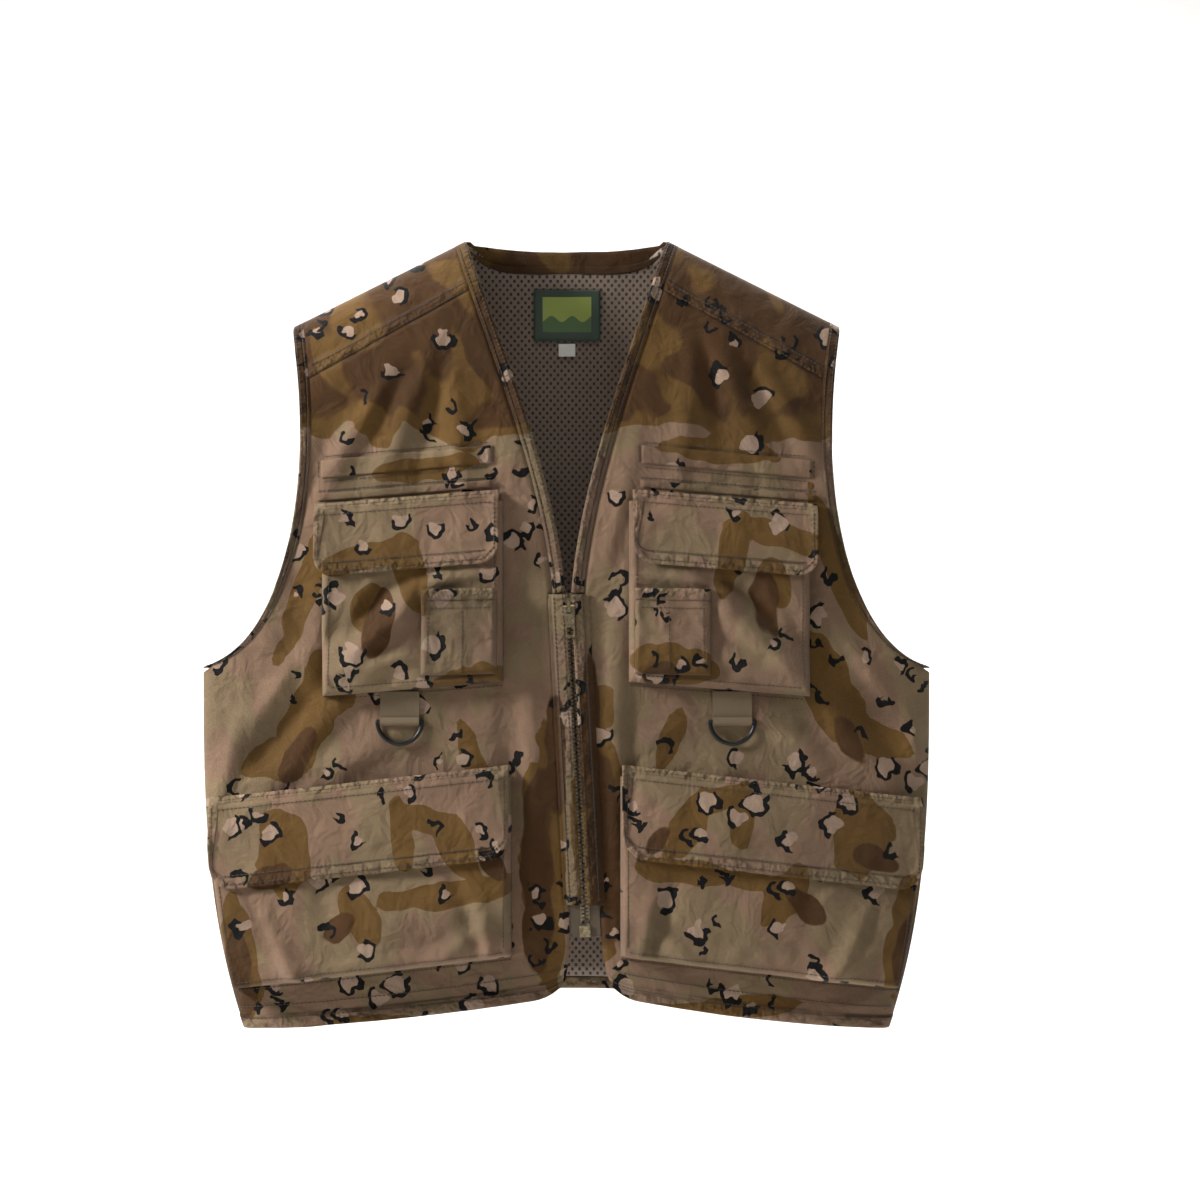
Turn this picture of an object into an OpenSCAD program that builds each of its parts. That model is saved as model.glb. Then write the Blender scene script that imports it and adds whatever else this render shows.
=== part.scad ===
// Multi-pocket utility vest with a zip front, modelled hanging empty.
// Millimetres. +X is the wearer's left, -Y the front, +Z up.
// The origin is level with the two points where the neck edge meets the shoulders.

/* [Body] */
// Half width at the underarm
half_chest = 258; // [235:1:310]
// Half width at the hem
hem_half = 229; // [200:1:300]
// Half width of the neck at the shoulder
neck_half = 71; // [60:1:80]
// Half width across the outer shoulder points
shoulder_half = 195; // [160:1:225]
// How far the shoulder falls from neck to outer point
shoulder_drop = 62; // [45:1:75]
// Half width where the armhole is scooped in most
armhole_half = 190; // [155:1:215]
// Neck point down to the underarm
underarm_drop = 303; // [250:1:365]
// Neck point down to the hem at the side
side_length = 558; // [530:1:670]
// Neck point down to the hem at the centre of the back
back_length = 536; // [510:1:660]
// Neck point down to the start of the round front corner
front_length = 511; // [500:1:620]
// Neck point down to the bottom of the V neck
v_depth = 250; // [205:1:300]
// How far the back neck dips below the neck points
neck_dip = 5; // [2:1:20]
// How far the front hem bows down below the line from corner to side
hem_bow = 21; // [5:1:30]
// Lean of the front edges from the vertical, in degrees
lean = 3; // [0:0.5:5]
// Depth of the front from the side seam plane
front_depth = 30; // [20:1:60]
// Depth of the back from the side seam plane
back_depth = 28; // [20:1:60]
// Height over which the shoulder rounds over
shoulder_round = 70; // [40:1:100]

/* [Fabric] */
// Thickness of the outer twill
twill = 1.1; // [0.6:0.1:2]
// Thickness of the mesh lining
mesh = 0.8; // [0.5:0.1:1.5]
// Space between the twill and the lining
lining_gap = 2.6; // [2.2:0.1:5]
// Width of the bound neck and armhole edges
bind_w = 9; // [6:0.5:14]
// How far a binding stands proud on each face
bind_proud = 0.4; // [0.2:0.1:1]
// Height of the hem band
hem_h = 9; // [6:0.5:20]
// Clearance between sewn layers
layer_gap = 0.3; // [0.2:0.05:0.6]

/* [Zip] */
// Half the slit between the two plackets
slit = 2; // [1.6:0.1:3]
// Length of the zip, from its top to the bottom of its box
zip_len = 242; // [190:1:300]
// Distance from one tooth to the next
tooth_pitch = 2.6; // [2.4:0.1:4]
// Slider length
slider_len = 12; // [10:0.5:16]
// Slider width
slider_w = 9; // [8:0.5:12]
// Pull tab length
pull_len = 22; // [15:1:35]
// Pull tab width
pull_w = 7.7; // [6:0.1:12]

/* [Chest pockets] */
// Inner edge from the centre line
chest_x = 44; // [40:1:50]
// Width
chest_w = 127; // [90:1:130]
// Height of the pocket body
chest_h = 127; // [90:1:130]
// Neck point down to the flap's hinge line
chest_drop = 178; // [165:1:195]
// Fall of the pocket line per millimetre outwards
chest_fall = 0.08; // [0:0.01:0.1]
// Depth at the mouth
chest_mouth = 7; // [6:0.5:12]
// Depth at the bottom
chest_deep = 14; // [10:0.5:30]
// Height of the flap
chest_flap_h = 51; // [35:1:60]
// Width of the pen pocket
pen_w = 53; // [35:1:60]
// Height of the pen pocket
pen_h = 60; // [40:1:65]
// Depth of the pen pocket
pen_deep = 7; // [6.5:0.5:12]

/* [Lower pockets] */
// Inner edge from the centre line
lower_x = 38; // [32:1:44]
// Width
lower_w = 211; // [150:1:212]
// Height of the pocket body
lower_h = 126; // [90:1:128]
// Neck point down to the flap's hinge line
lower_drop = 371; // [368:1:400]
// Fall of the pocket line per millimetre outwards
lower_fall = 0.112; // [0:0.01:0.12]
// Depth at the mouth
lower_mouth = 9; // [6:0.5:16]
// Depth at the bottom
lower_deep = 20; // [12:0.5:40]
// Height of the flap
lower_flap_h = 64; // [40:1:75]

/* [Welt pockets] */
// Neck point down to the top of the welt
welt_drop = 147; // [130:1:150]
// Width of the welt
welt_w = 119; // [80:1:122]
// Height of the welt
welt_h = 12.6; // [8:0.1:16]

/* [D-rings] */
// Ring centre from the centre line
ring_x = 116.5; // [95:0.5:125]
// Half width of the ring at the middle of its wire
ring_r = 15.6; // [10:0.1:18]
// Radius of the wire
wire_r = 1.5; // [1:0.1:2]
// Length of the webbing tab
tab_len = 21; // [16:1:30]

/* [Hidden] */

$fn = 40;
CAMO = "#6d5b43";
CAMO_DARK = "#49341e";
MESH = "#5a4a3c";
TAPE = "#5b4a36";
METAL = "#b5a787";
BLACK = "#1c1a1a";

t_mid = 0.5;                  // row at the underarm and the bottom of the V
t_yoke = 0.075;               // row of the front yoke seam
t_back_yoke = 0.16;           // row of the back yoke seam
t_hem = t_mid + (1 - t_mid) * (1 - hem_h / (side_length - underarm_drop));
seam = 0.004;                 // share of the rows left open at the underarm seam
corner_rows = 0.08;           // share of the rows taken by the round front corner
corner_in = 9;                // how far the front corner is rounded inwards
body_power = 4;               // squareness of the body's section
pocket_wide = 22;             // how much flatter than the body a pocket's face is
ridge_fall = shoulder_drop / (shoulder_half - neck_half);
lining_in = twill + lining_gap;
bind_in = lining_in + mesh + bind_proud;
s_neck = neck_half / shoulder_half;

// ---- Small helpers ----
function lerp(a, b, t) = a + (b - a) * t;
function unit(v) = max(0, min(1, v));
function ease(v) = let (t = unit(v)) t * t * (3 - 2 * t);
function bezier(p, t) =
  p[0] * (1 - t) ^ 3 + 3 * p[1] * t * (1 - t) ^ 2 + 3 * p[2] * t ^ 2 * (1 - t) + p[3] * t ^ 3;
function steps(a, b, n) = [for (i = [0:n]) lerp(a, b, i / n)];
function tail(list) = [for (i = [1:len(list) - 1]) list[i]];

// ---- The hung body: depth and outward normal at any place on the front or back ----
function body_half(z) =
  let (q = unit((-z - underarm_drop) / (side_length - underarm_drop)))
  lerp(half_chest, hem_half, q ^ 3);
function ridge(x) = -max(0, abs(x) - neck_half) * ridge_fall;
function depth_at(x, z, wide) =
  let (side = unit(1 - unit(abs(x) / (body_half(z) + wide)) ^ body_power) ^ (1 / body_power),
       top = unit((ridge(x) - z) / shoulder_round))
  side * sqrt(1 - (1 - top) ^ 2);
function normal_at(x, z, depth, wide) =
  let (e = 0.4,
       sx = x < 0 ? -1 : 1,
       dx = (depth_at(x, z, wide) - depth_at(x - sx * e, z, wide)) * depth / (sx * e),
       dz = (depth_at(x, z, wide) - depth_at(x, z - e, wide)) * depth / e,
       n = [-dx, -1, -dz])
  n / norm(n);
// A place off the surface; nothing crosses the side seam's plane
function skin(x, z, d, depth = front_depth, wide = 0) =
  let (p = [x, -depth * depth_at(x, z, wide), z] + d * normal_at(x, z, depth, wide))
  [p[0], min(p[1], 0), p[2]];

// A place in front of the body, straight out from it
function face(x, z, d, wide = 0) = [x, -front_depth * depth_at(x, z, wide) - d, z];

// ---- Outlines, from the shoulder (t = 0) down to the hem (t = 1) ----
function zip_line(z) = 1.5 + max(0, -v_depth - z) * tan(lean);
function front_edge(t, side) =
  let (low = unit((t - t_mid) / (1 - t_mid)),
       z = -lerp(v_depth, front_length, low),
       round_in = 1 - sqrt(1 - unit((t - 1 + corner_rows) / corner_rows) ^ 2),
       edge = side * zip_line(z) + slit)
  t < t_mid
    ? bezier([[neck_half, 0], [neck_half - 22, -0.28 * v_depth],
              [edge + 7, -0.66 * v_depth], [edge, -v_depth]], t / t_mid)
    : [edge + corner_in * round_in, z];
function outer_edge(t) =
  let (low = unit((t - t_mid) / (1 - t_mid)),
       z = -lerp(underarm_drop, side_length, low),
       reach = underarm_drop - shoulder_drop)
  t < t_mid
    ? bezier([[shoulder_half, -shoulder_drop], [armhole_half - 14, -shoulder_drop - 0.366 * reach],
              [armhole_half, -underarm_drop + 18], [half_chest, -underarm_drop]], t / t_mid)
    : [body_half(z), z];
function hem_bulge(s, t) =
  let (low = unit((t - t_mid) / (1 - t_mid)), turn = unit(s / 0.12))
  -hem_bow * (1 - s ^ 1.6) * sqrt(1 - (1 - turn) ^ 2) * low ^ 3;
function front_xz(s, t, side) =
  let (p = lerp(front_edge(t, side), outer_edge(t), s))
  [p[0], p[1] + hem_bulge(s, t)];
function front_span(t, side) = norm(outer_edge(t) - front_edge(t, side));
function neck_s(t, side) = bind_w / front_span(t, side);
function arm_s(t, side) = t <= t_mid ? 1 - bind_w / front_span(t, side) : 1;

function back_top(x) = abs(x) < neck_half ? -neck_dip * (1 - (x / neck_half) ^ 2) : ridge(x);
function back_xz(s, t) =
  let (low = unit((t - t_mid) / (1 - t_mid)),
       a = abs(s),
       outer = outer_edge(t),
       centre = -lerp(neck_dip, back_length, t),
       flat_top = lerp(-neck_dip, -shoulder_drop, a),
       lift = (back_top(shoulder_half * a) - flat_top) * (1 - unit(t / 0.3)) ^ 2,
       sag = (side_length - back_length) * (a - a * a) * low ^ 2)
  [s * outer[0], lerp(centre, outer[1], a) + lift + sag];
function back_arm_s(t) = t <= t_mid ? 1 - bind_w / outer_edge(t)[0] : 1;
function back_neck_t(s) =
  let (a = unit(abs(s) / s_neck)) bind_w / back_length * (1 - a ^ 6);
// Where the yoke and lining start, just clear of the facing
facing_gap = 1.2;
function back_start_t(s) =
  back_neck_t(s) + (abs(s) < s_neck - seam ? facing_gap / back_length : 0);

// ---- Rows and columns shared by layers that meet ----
YOKE_ROWS = [for (i = [0:4]) t_yoke * (i / 4) ^ 2];
UPPER_ROWS = steps(t_yoke, t_mid, 7);
LOWER_ROWS = concat([t_mid + seam], tail(steps(t_mid, t_hem, 8)));
PANEL_ROWS = concat(UPPER_ROWS, LOWER_ROWS);
HEM_ROWS = [t_hem, lerp(t_hem, 1, 0.5), 1];
ARM_ROWS = concat(YOKE_ROWS, tail(UPPER_ROWS));
FRONT_COLS = [for (i = [0:9]) 1 - (1 - i / 9) ^ 1.5];
BACK_YOKE_ROWS = [for (i = [0:8]) (i / 8) ^ 2];
BACK_ROWS = concat(steps(t_back_yoke, t_mid, 6), LOWER_ROWS);
BACK_ARM_ROWS = concat([for (q = BACK_YOKE_ROWS) q * t_back_yoke], tail(steps(t_back_yoke, t_mid, 6)));
HALF_COLS = concat(steps(0, s_neck, 6),
                   [for (i = [1:6]) s_neck + (1 - s_neck) * (1 - (1 - i / 6) ^ 1.6)]);
BACK_COLS = concat([for (i = [len(HALF_COLS) - 1:-1:1]) -HALF_COLS[i]], HALF_COLS);

// ---- A closed sheet between two grids of points; outer faces -Y ----
module sheet(outer, inner) {
  n = len(outer) - 1;
  m = len(outer[0]) - 1;
  all = concat([for (c = outer) each c], [for (c = inner) each c]);
  function a(i, j) = i * (m + 1) + j;
  function b(i, j) = (n + 1 + i) * (m + 1) + j;
  quads = concat(
    [for (i = [0:n - 1], j = [0:m - 1]) [a(i, j), a(i + 1, j), a(i + 1, j + 1), a(i, j + 1)]],
    [for (i = [0:n - 1], j = [0:m - 1]) [b(i, j), b(i, j + 1), b(i + 1, j + 1), b(i + 1, j)]],
    [for (i = [0:n - 1]) [a(i + 1, 0), a(i, 0), b(i, 0), b(i + 1, 0)]],
    [for (i = [0:n - 1]) [a(i, m), a(i + 1, m), b(i + 1, m), b(i, m)]],
    [for (j = [0:m - 1]) [a(0, j), a(0, j + 1), b(0, j + 1), b(0, j)]],
    [for (j = [0:m - 1]) [a(n, j + 1), a(n, j), b(n, j), b(n, j + 1)]]);
  polyhedron(all, [for (q = quads) each [[q[0], q[1], q[2]], [q[0], q[2], q[3]]]]);
}

// A sheet between two depths over one grid of places [x, z]
module layer(places, high, low, depth = front_depth, wide = 0) {
  sheet([for (c = places) [for (p = c) skin(p[0], p[1], high, depth, wide)]],
        [for (c = places) [for (p = c) skin(p[0], p[1], low, depth, wide)]]);
}
module on_side(side) { if (side > 0) children(); else mirror([1, 0, 0]) children(); }
module on_back() { mirror([0, 1, 0]) children(); }

// ---- Outer shell ----
module front_part(side, rows, high, low) {
  layer([for (c = FRONT_COLS)
          [for (t = rows) front_xz(lerp(neck_s(t, side), arm_s(t, side), c), t, side)]], high, low);
}
module front_panel(side) color(CAMO) on_side(side) difference() {
  front_part(side, PANEL_ROWS, 0, -twill);
  welt_slit();
}
module front_yoke(side) color(CAMO) on_side(side) front_part(side, YOKE_ROWS, 0, -twill);
module back_part(rows, high, low) {
  on_back() layer([for (c = BACK_COLS) [for (t = rows) back_xz(c * back_arm_s(t), t)]],
                  high, low, back_depth);
}
module back_panel() color(CAMO) back_part(BACK_ROWS, 0, -twill);
module back_yoke() color(CAMO) on_back() layer(
  [for (c = BACK_COLS) [for (q = BACK_YOKE_ROWS)
    let (t = lerp(back_start_t(c), t_back_yoke, q)) back_xz(c * back_arm_s(t), t)]],
  0, -twill, back_depth);

// ---- Bound edges ----
module neck_binding(side) color(CAMO_DARK) on_side(side)
  layer([for (c = [0, 1]) [for (t = ARM_ROWS) front_xz(c * neck_s(t, side), t, side)]],
        bind_proud, -bind_in);
module armhole_binding(side) color(CAMO_DARK) on_side(side) {
  layer([for (c = [0, 1]) [for (t = ARM_ROWS) front_xz(lerp(arm_s(t, side), 1, c), t, side)]],
        bind_proud, -bind_in);
  on_back() layer([for (c = [0, 1]) [for (t = BACK_ARM_ROWS) back_xz(lerp(back_arm_s(t), 1, c), t)]],
                  bind_proud, -bind_in, back_depth);
}
module back_neck_facing() color(CAMO_DARK) on_back()
  layer([for (c = BACK_COLS) if (abs(c) < s_neck - seam) [for (q = [0, 1])
          back_xz(c, q * back_neck_t(c))]], bind_proud, -bind_in, back_depth);
module hem_front(side) color(CAMO) on_side(side)
  layer([for (c = FRONT_COLS) [for (t = HEM_ROWS)
          front_xz(lerp(neck_s(t, side), 1, c), t, side)]], bind_proud, -bind_in);
module hem_back() color(CAMO_DARK) back_part(HEM_ROWS, bind_proud, -bind_in);

// ---- Mesh lining ----
module mesh_lining(side) color(MESH) on_side(side)
  front_part(side, concat(YOKE_ROWS, tail(PANEL_ROWS)), -lining_in, -lining_in - mesh);
module mesh_lining_back() color(MESH) on_back() layer(
  [for (c = BACK_COLS) concat(
    [for (q = BACK_YOKE_ROWS) let (t = lerp(back_start_t(c), t_back_yoke, q)) back_xz(c * back_arm_s(t), t)],
    [for (t = tail(BACK_ROWS)) back_xz(c * back_arm_s(t), t)])],
  -lining_in, -lining_in - mesh, back_depth);

// ---- Zip: built upright about its own top, then leaned ----
tape_in = 3.2;                // inner edge of the tape from the chain's middle
tape_thick = 0.7;
tape_out = slit + bind_w - 0.9;
tape_top = -2.8;              // clear of the neck binding's end
tooth_in = 0.75;              // half the slot down the middle of the chain
tooth_w = 2.7;
tooth_thick = 2.4;
tooth_h = 1.3;
plate = 1.2;                  // slider plate
plate_y = 1.5;                // chain's middle to the slider plate
placket_y = plate_y + plate + 0.4;
slider_top = -4;              // slider's top below the top of the zip
box_h = 8;
pull_axis_y = -placket_y - twill - 1.1;
pull_axis_z = slider_top - slider_len / 2;
bail_half = 1.2;
module zip_place() translate([zip_line(-v_depth), -front_depth, -v_depth]) rotate([0, -lean, 0]) children();
module span(x, y, z) translate([x[0], y[0], z[0]]) cube([x[1] - x[0], y[1] - y[0], z[1] - z[0]]);
module zip_tape(side) color(TAPE) zip_place() on_side(side)
  span([tape_in, tape_out], [-tape_thick / 2, tape_thick / 2], [-zip_len, tape_top]);
module zip_teeth(side) color(METAL) zip_place() on_side(side) {
  first = slider_top - (side > 0 ? 0 : tooth_pitch / 2);
  count = floor((zip_len - box_h - 6) / tooth_pitch);
  span([tape_in - 0.4, tape_in], [-tape_thick, tape_thick], [first - count * tooth_pitch, first]);
  for (i = [0:count - 1])
    translate([0, 0, first - i * tooth_pitch])
      span([tooth_in, tape_in - 0.2], [-tooth_thick / 2, tooth_thick / 2], [-tooth_h, 0]);
}
module zip_top_stops() color(METAL) zip_place() for (side = [-1, 1]) on_side(side)
  span([tooth_in, tape_in - 0.2], [-plate_y, plate_y], [slider_top + 0.5, slider_top + 3]);
module zip_retainer_box() color(METAL) zip_place() difference() {
  span([-4.5, tape_in - 0.1], [-2.2, 2.2], [-zip_len, -zip_len + box_h]);
  span([0.6, tape_in + 1], [-1.2, 1.2], [-zip_len + 1.5, -zip_len + box_h + 1]);
  span([-tape_in - 2, -tape_in], [-0.45, 0.45], [-zip_len - 1, -zip_len + box_h + 1]);
}
module zip_insert_pin() color(METAL) zip_place()
  span([0.8, 2.6], [-1, 1], [-zip_len + 1.7, -zip_len + box_h + 1]);
module zip_slider() color(METAL) zip_place() translate([0, 0, slider_top - slider_len]) {
  half = slider_w / 2;
  for (face = [-1, 1]) {
    low = face < 0 ? -plate_y - plate : plate_y;
    translate([0, low + plate, 0]) rotate([90, 0, 0]) linear_extrude(plate)
      polygon([[-half + 1, 0], [half - 1, 0], [half, 5], [half, slider_len - 2], [half - 1.5, slider_len],
               [-half + 1.5, slider_len], [-half, slider_len - 2], [-half, 5]]);
    for (edge = [-1, 1])
      span(edge < 0 ? [-half, -half + 0.9] : [half - 0.9, half],
           face < 0 ? [-plate_y - 0.01, -0.6] : [0.6, plate_y + 0.01], [5, slider_len - 2]);
  }
  span([-0.45, 0.45], [-plate_y - 0.01, plate_y + 0.01], [slider_len - 5, slider_len]);
  bail_y = -pull_axis_y + 2.4;
  difference() {
    span([-bail_half, bail_half], [-bail_y, -plate_y - plate + 0.01], [2, slider_len - 2]);
    span([-bail_half - 1, bail_half + 1], [-bail_y + 1.2, -plate_y - plate - 0.01],
         [3.2, slider_len - 3.2]);
  }
}
module zip_pull_tab() color(METAL) zip_place() translate([0, pull_axis_y, pull_axis_z]) {
  half = pull_w / 2;
  thick = 1.3;
  rotate([0, 90, 0]) cylinder(h = pull_w, r = 0.65, center = true);
  difference() {
    rotate([90, 0, 0]) translate([0, 0, -thick / 2]) linear_extrude(thick)
      polygon([[-half, 0], [half, 0], [half, -5], [half * 0.86, -9], [half * 0.86, 1.5 - pull_len],
               [half * 0.6, -pull_len], [-half * 0.6, -pull_len], [-half * 0.86, 1.5 - pull_len],
               [-half * 0.86, -9], [-half, -5]]);
    span([-bail_half - 0.6, bail_half + 0.6], [-thick, thick], [-5.2, -0.62]);
    span([-2.1, 2.1], [-thick, thick], [2 - pull_len, 7.5 - pull_len]);
  }
}

// ---- Plackets that cover the zip ----
PLACKET = [[slit, placket_y], [slit + bind_w - 2, placket_y], [slit + bind_w + 0.5, layer_gap],
           [slit + bind_w + 2, layer_gap]];      // distance from the zip line, and back face's height
function placket_place(c, t, side, proud) =
  let (p = front_edge(t, side)) skin(p[0] - slit + c[0], p[1] + hem_bulge(0, t), c[1] + proud);
module placket(side) color(CAMO) on_side(side) {
  rows = steps(t_mid + seam, 1 - corner_rows, 8);
  sheet([for (c = PLACKET) [for (t = rows) placket_place(c, t, side, twill)]],
        [for (c = PLACKET) [for (t = rows) placket_place(c, t, side, 0)]]);
}

// ---- Places on a pocket: u outwards from its inner edge, v down from its top line ----
// Its outer edge keeps inside the body's outline, so it draws in where the body does
side_gap = 4;
function pocket_xz(x0, drop, fall, u, v, w) =
  let (z = -drop - u * fall - v,
       outer = min(x0 + w, body_half(-drop - w * fall - v) - side_gap))
  [x0 + u * (outer - x0) / w, z];
module pouch(x0, drop, fall, w, h, base, deep, wide = 0) {
  round_r = 3.5;
  cols = concat([[0, 0], [0.7, 0.72]],
                [for (i = [0:8]) [lerp(w - round_r, round_r, (1 - i / 8) ^ 1.4), 1]],
                [[w - 0.7, 0.72], [w, 0]]);
  rows = concat([for (i = [0:4]) [(h - round_r) * i / 4, 1]], [[h - 0.7, 0.72], [h, 0]]);
  function place(c, r, wall) =
    let (f = c[1] * r[1],
         u = lerp(wall, w - wall, c[0] / w),
         v = r[0] * (h - wall) / h,
         low = lerp(base[0], base[1], v / h),
         high = lerp(deep[0], deep[1], v / h) - wall,
         p = pocket_xz(x0, drop, fall, u, v, w))
    lerp(skin(p[0], p[1], low), face(p[0], p[1], high, wide), f);
  sheet([for (c = cols) [for (r = rows) place(c, r, 0)]],
        [for (c = cols) [for (r = rows) place(c, r, twill)]]);
}
// A patch of even thickness that follows a pocket's face
module patch(x0, drop, fall, w, h, low, high, thick, wide = 0, n = 4) {
  function place(i, j, lift) =
    let (p = pocket_xz(x0, drop, fall, w * i / n, h * j, w))
    face(p[0], p[1], lerp(low, high, j) + lift, wide);
  sheet([for (i = [0:n]) [for (j = [0, 1]) place(i, j, thick)]],
        [for (i = [0:n]) [for (j = [0, 1]) place(i, j, 0)]]);
}
closure_gap = 2.8;            // flap's inner face above the pocket's face, for the two patches
flap_root = 1.4;              // height of the flap's inner face at its hinge line
mouth_drop = 8;               // pocket's mouth below the flap's hinge line
patch_thick = 1;
module flap(x0, drop, fall, w, h, corner, deep, pocket_h, wide = 0) {
  cols = concat([0, 0.25, 0.6, 1] * corner, tail(steps(corner, w - corner, 6)),
                [for (q = [0.6, 0.25, 0]) w - corner * q]);
  rows = [0, 0.4, 0.8, 1.4, 2.2, 3.4, 5];
  function length_at(u) =
    let (q = max(0, corner - min(u, w - u))) h - corner + sqrt(corner ^ 2 - q ^ 2);
  function place(u, r, lift) =
    let (root = mouth_drop - 1,
         v = r < 1.4 ? root * r / 1.4 : lerp(root, length_at(u), (r - 1.4) / 3.6),
         high = lerp(deep[0], deep[1], unit((v - mouth_drop) / pocket_h)) + closure_gap,
         p = pocket_xz(x0, drop, fall, u, v, w))
    face(p[0], p[1], lerp(flap_root, high, ease(v / root)) + lift, wide);
  sheet([for (u = cols) [for (r = rows) place(u, r, twill)]],
        [for (u = cols) [for (r = rows) place(u, r, 0)]]);
}

// ---- Chest pockets ----
CHEST = [chest_mouth, chest_deep];
chest_flap_x = chest_x + 3;
chest_flap_w = chest_w + 2;
chest_corner = 14;
function chest_face(v) = lerp(chest_mouth, chest_deep, v / chest_h);
chest_patch_w = 70;
chest_patch_u = (chest_w - chest_patch_w) / 2;
chest_patch_v = chest_flap_h - mouth_drop - 25;
chest_patch_h = 16;
module chest_patch(side, lift) color(BLACK) on_side(side)
  patch(chest_x + chest_patch_u, chest_drop + mouth_drop + chest_patch_u * chest_fall + chest_patch_v,
        chest_fall, chest_patch_w, chest_patch_h,
        chest_face(chest_patch_v) + lift, chest_face(chest_patch_v + chest_patch_h) + lift, patch_thick);
module chest_pocket(side) color(CAMO) on_side(side)
  pouch(chest_x, chest_drop + mouth_drop, chest_fall, chest_w, chest_h, [layer_gap, layer_gap], CHEST);
module chest_flap(side) color(CAMO) on_side(side)
  flap(chest_flap_x, chest_drop, chest_fall, chest_flap_w, chest_flap_h, chest_corner, CHEST, chest_h);
module chest_loop_patch(side) chest_patch(side, 0.2);
module chest_hook_patch(side) chest_patch(side, closure_gap - patch_thick - 0.25);
pen_v = chest_h - pen_h - 6;
pen_in = 4;                   // its inner edge from the chest pocket's
pen_fall = 0.02;
module pen_pocket(side) color(CAMO_DARK) on_side(side)
  pouch(chest_x + pen_in, chest_drop + mouth_drop + pen_v, pen_fall, pen_w, pen_h,
        [chest_face(pen_v) + layer_gap, chest_face(pen_v + pen_h) + layer_gap],
        [chest_face(pen_v) + pen_deep, chest_face(pen_v + pen_h) + pen_deep]);
piping_in = 5;                // piping's ends inside the flap's
piping_h = 5;
trim_thick = 1.7;
module pocket_piping(side) color(CAMO_DARK) on_side(side)
  patch(chest_flap_x + piping_in, chest_drop - piping_h - 2 + piping_in * chest_fall, chest_fall,
        chest_w - 4, piping_h, layer_gap, layer_gap, trim_thick, 0, 6);

// ---- Welt pockets ----
welt_x = 53;
welt_fall = 0.088;
bag_h = 88;
bag_thick = 1.4;
bag_in = twill + 0.5;
module welt(side) color(CAMO) on_side(side)
  patch(welt_x, welt_drop, welt_fall, welt_w, welt_h, layer_gap, layer_gap, trim_thick, 0, 6);
module welt_slit() {
  cut = 2.4;
  translate([welt_x + 6, -front_depth - 5, -welt_drop - welt_h - 6 * welt_fall + 1])
    rotate([0, atan(welt_fall), 0]) cube([welt_w - 12, 20, cut]);
}
module inner_bag(side) color(MESH) on_side(side)
  patch(welt_x + 3, welt_drop - 4, welt_fall, welt_w - 6, bag_h,
        -bag_in - bag_thick, -bag_in - bag_thick, bag_thick, 0, 6);

// ---- D-rings on webbing tabs ----
chest_bottom = chest_drop + mouth_drop + chest_h;
ring_z = -(chest_bottom + (ring_x - chest_x) * chest_fall) - tab_len - 0.8;
tab_web = 1.1;
bar_gap = 0.25;               // running clearance of the bar in its loop
loop_r = wire_r + bar_gap + tab_web;
tab_w = 2 * (ring_r - wire_r) - 0.9;
ring_y = skin(ring_x - tab_w / 2, ring_z, 0)[1] - loop_r - layer_gap;
module at_ring() translate([ring_x, ring_y, ring_z]) children();
module ring_tab(side) color(CAMO_DARK) on_side(side) at_ring()
  translate([-tab_w / 2, 0, 0]) rotate([90, 0, 90]) linear_extrude(tab_w) difference() {
    union() {
      circle(loop_r);
      translate([loop_r - 2 * tab_web, 0]) square([2 * tab_web, tab_len]);
    }
    circle(wire_r + bar_gap);
  }
module d_ring(side) color(BLACK) on_side(side) at_ring() {
  rotate([0, 90, 0]) cylinder(h = 2 * ring_r, r = wire_r, center = true);
  for (end = [-1, 1]) translate([end * ring_r, 0, 0]) sphere(wire_r);
  rotate([-90, 0, 0]) rotate_extrude(angle = 180) translate([ring_r, 0]) circle(wire_r);
}

// ---- Lower pockets ----
LOWER = [lower_mouth, lower_deep];
lower_flap_x = lower_x + 2;
lower_flap_w = lower_w - 0.5;
lower_corner = 16;
function lower_face(v) = lerp(lower_mouth, lower_deep, v / lower_h);
lower_patch_w = 120;
lower_patch_u = 36;
lower_patch_v = lower_flap_h - mouth_drop - 30;
lower_patch_h = 18;
module lower_patch(side, lift) color(BLACK) on_side(side)
  patch(lower_x + lower_patch_u, lower_drop + mouth_drop + lower_patch_u * lower_fall + lower_patch_v,
        lower_fall, lower_patch_w, lower_patch_h,
        lower_face(lower_patch_v) + lift, lower_face(lower_patch_v + lower_patch_h) + lift,
        patch_thick, pocket_wide, 6);
module lower_pocket(side) color(CAMO) on_side(side)
  pouch(lower_x, lower_drop + mouth_drop, lower_fall, lower_w, lower_h, [layer_gap, layer_gap], LOWER,
        pocket_wide);
module lower_flap(side) color(CAMO) on_side(side)
  flap(lower_flap_x, lower_drop, lower_fall, lower_flap_w, lower_flap_h, lower_corner, LOWER, lower_h,
       pocket_wide);
module lower_loop_patch(side) lower_patch(side, 0.2);
module lower_hook_patch(side) lower_patch(side, closure_gap - patch_thick - 0.25);

// ---- Labels inside the back neck ----
label_drop = 31;
label_w = 48;
label_h = 38;
label_in = lining_in + mesh + 1.2;
label_thick = 0.9;
module back_label(drop, w, h) on_back()
  layer([for (q = steps(-w / 2, w / 2, 6)) [for (v = steps(0, h, 3)) [q, -drop - v]]],
        -label_in, -label_in - label_thick, back_depth);
module neck_label() color("#26402a") back_label(label_drop, label_w, label_h);
module size_tab() color("#e8e6e0") back_label(label_drop + label_h + 2, 12, 9);

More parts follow.
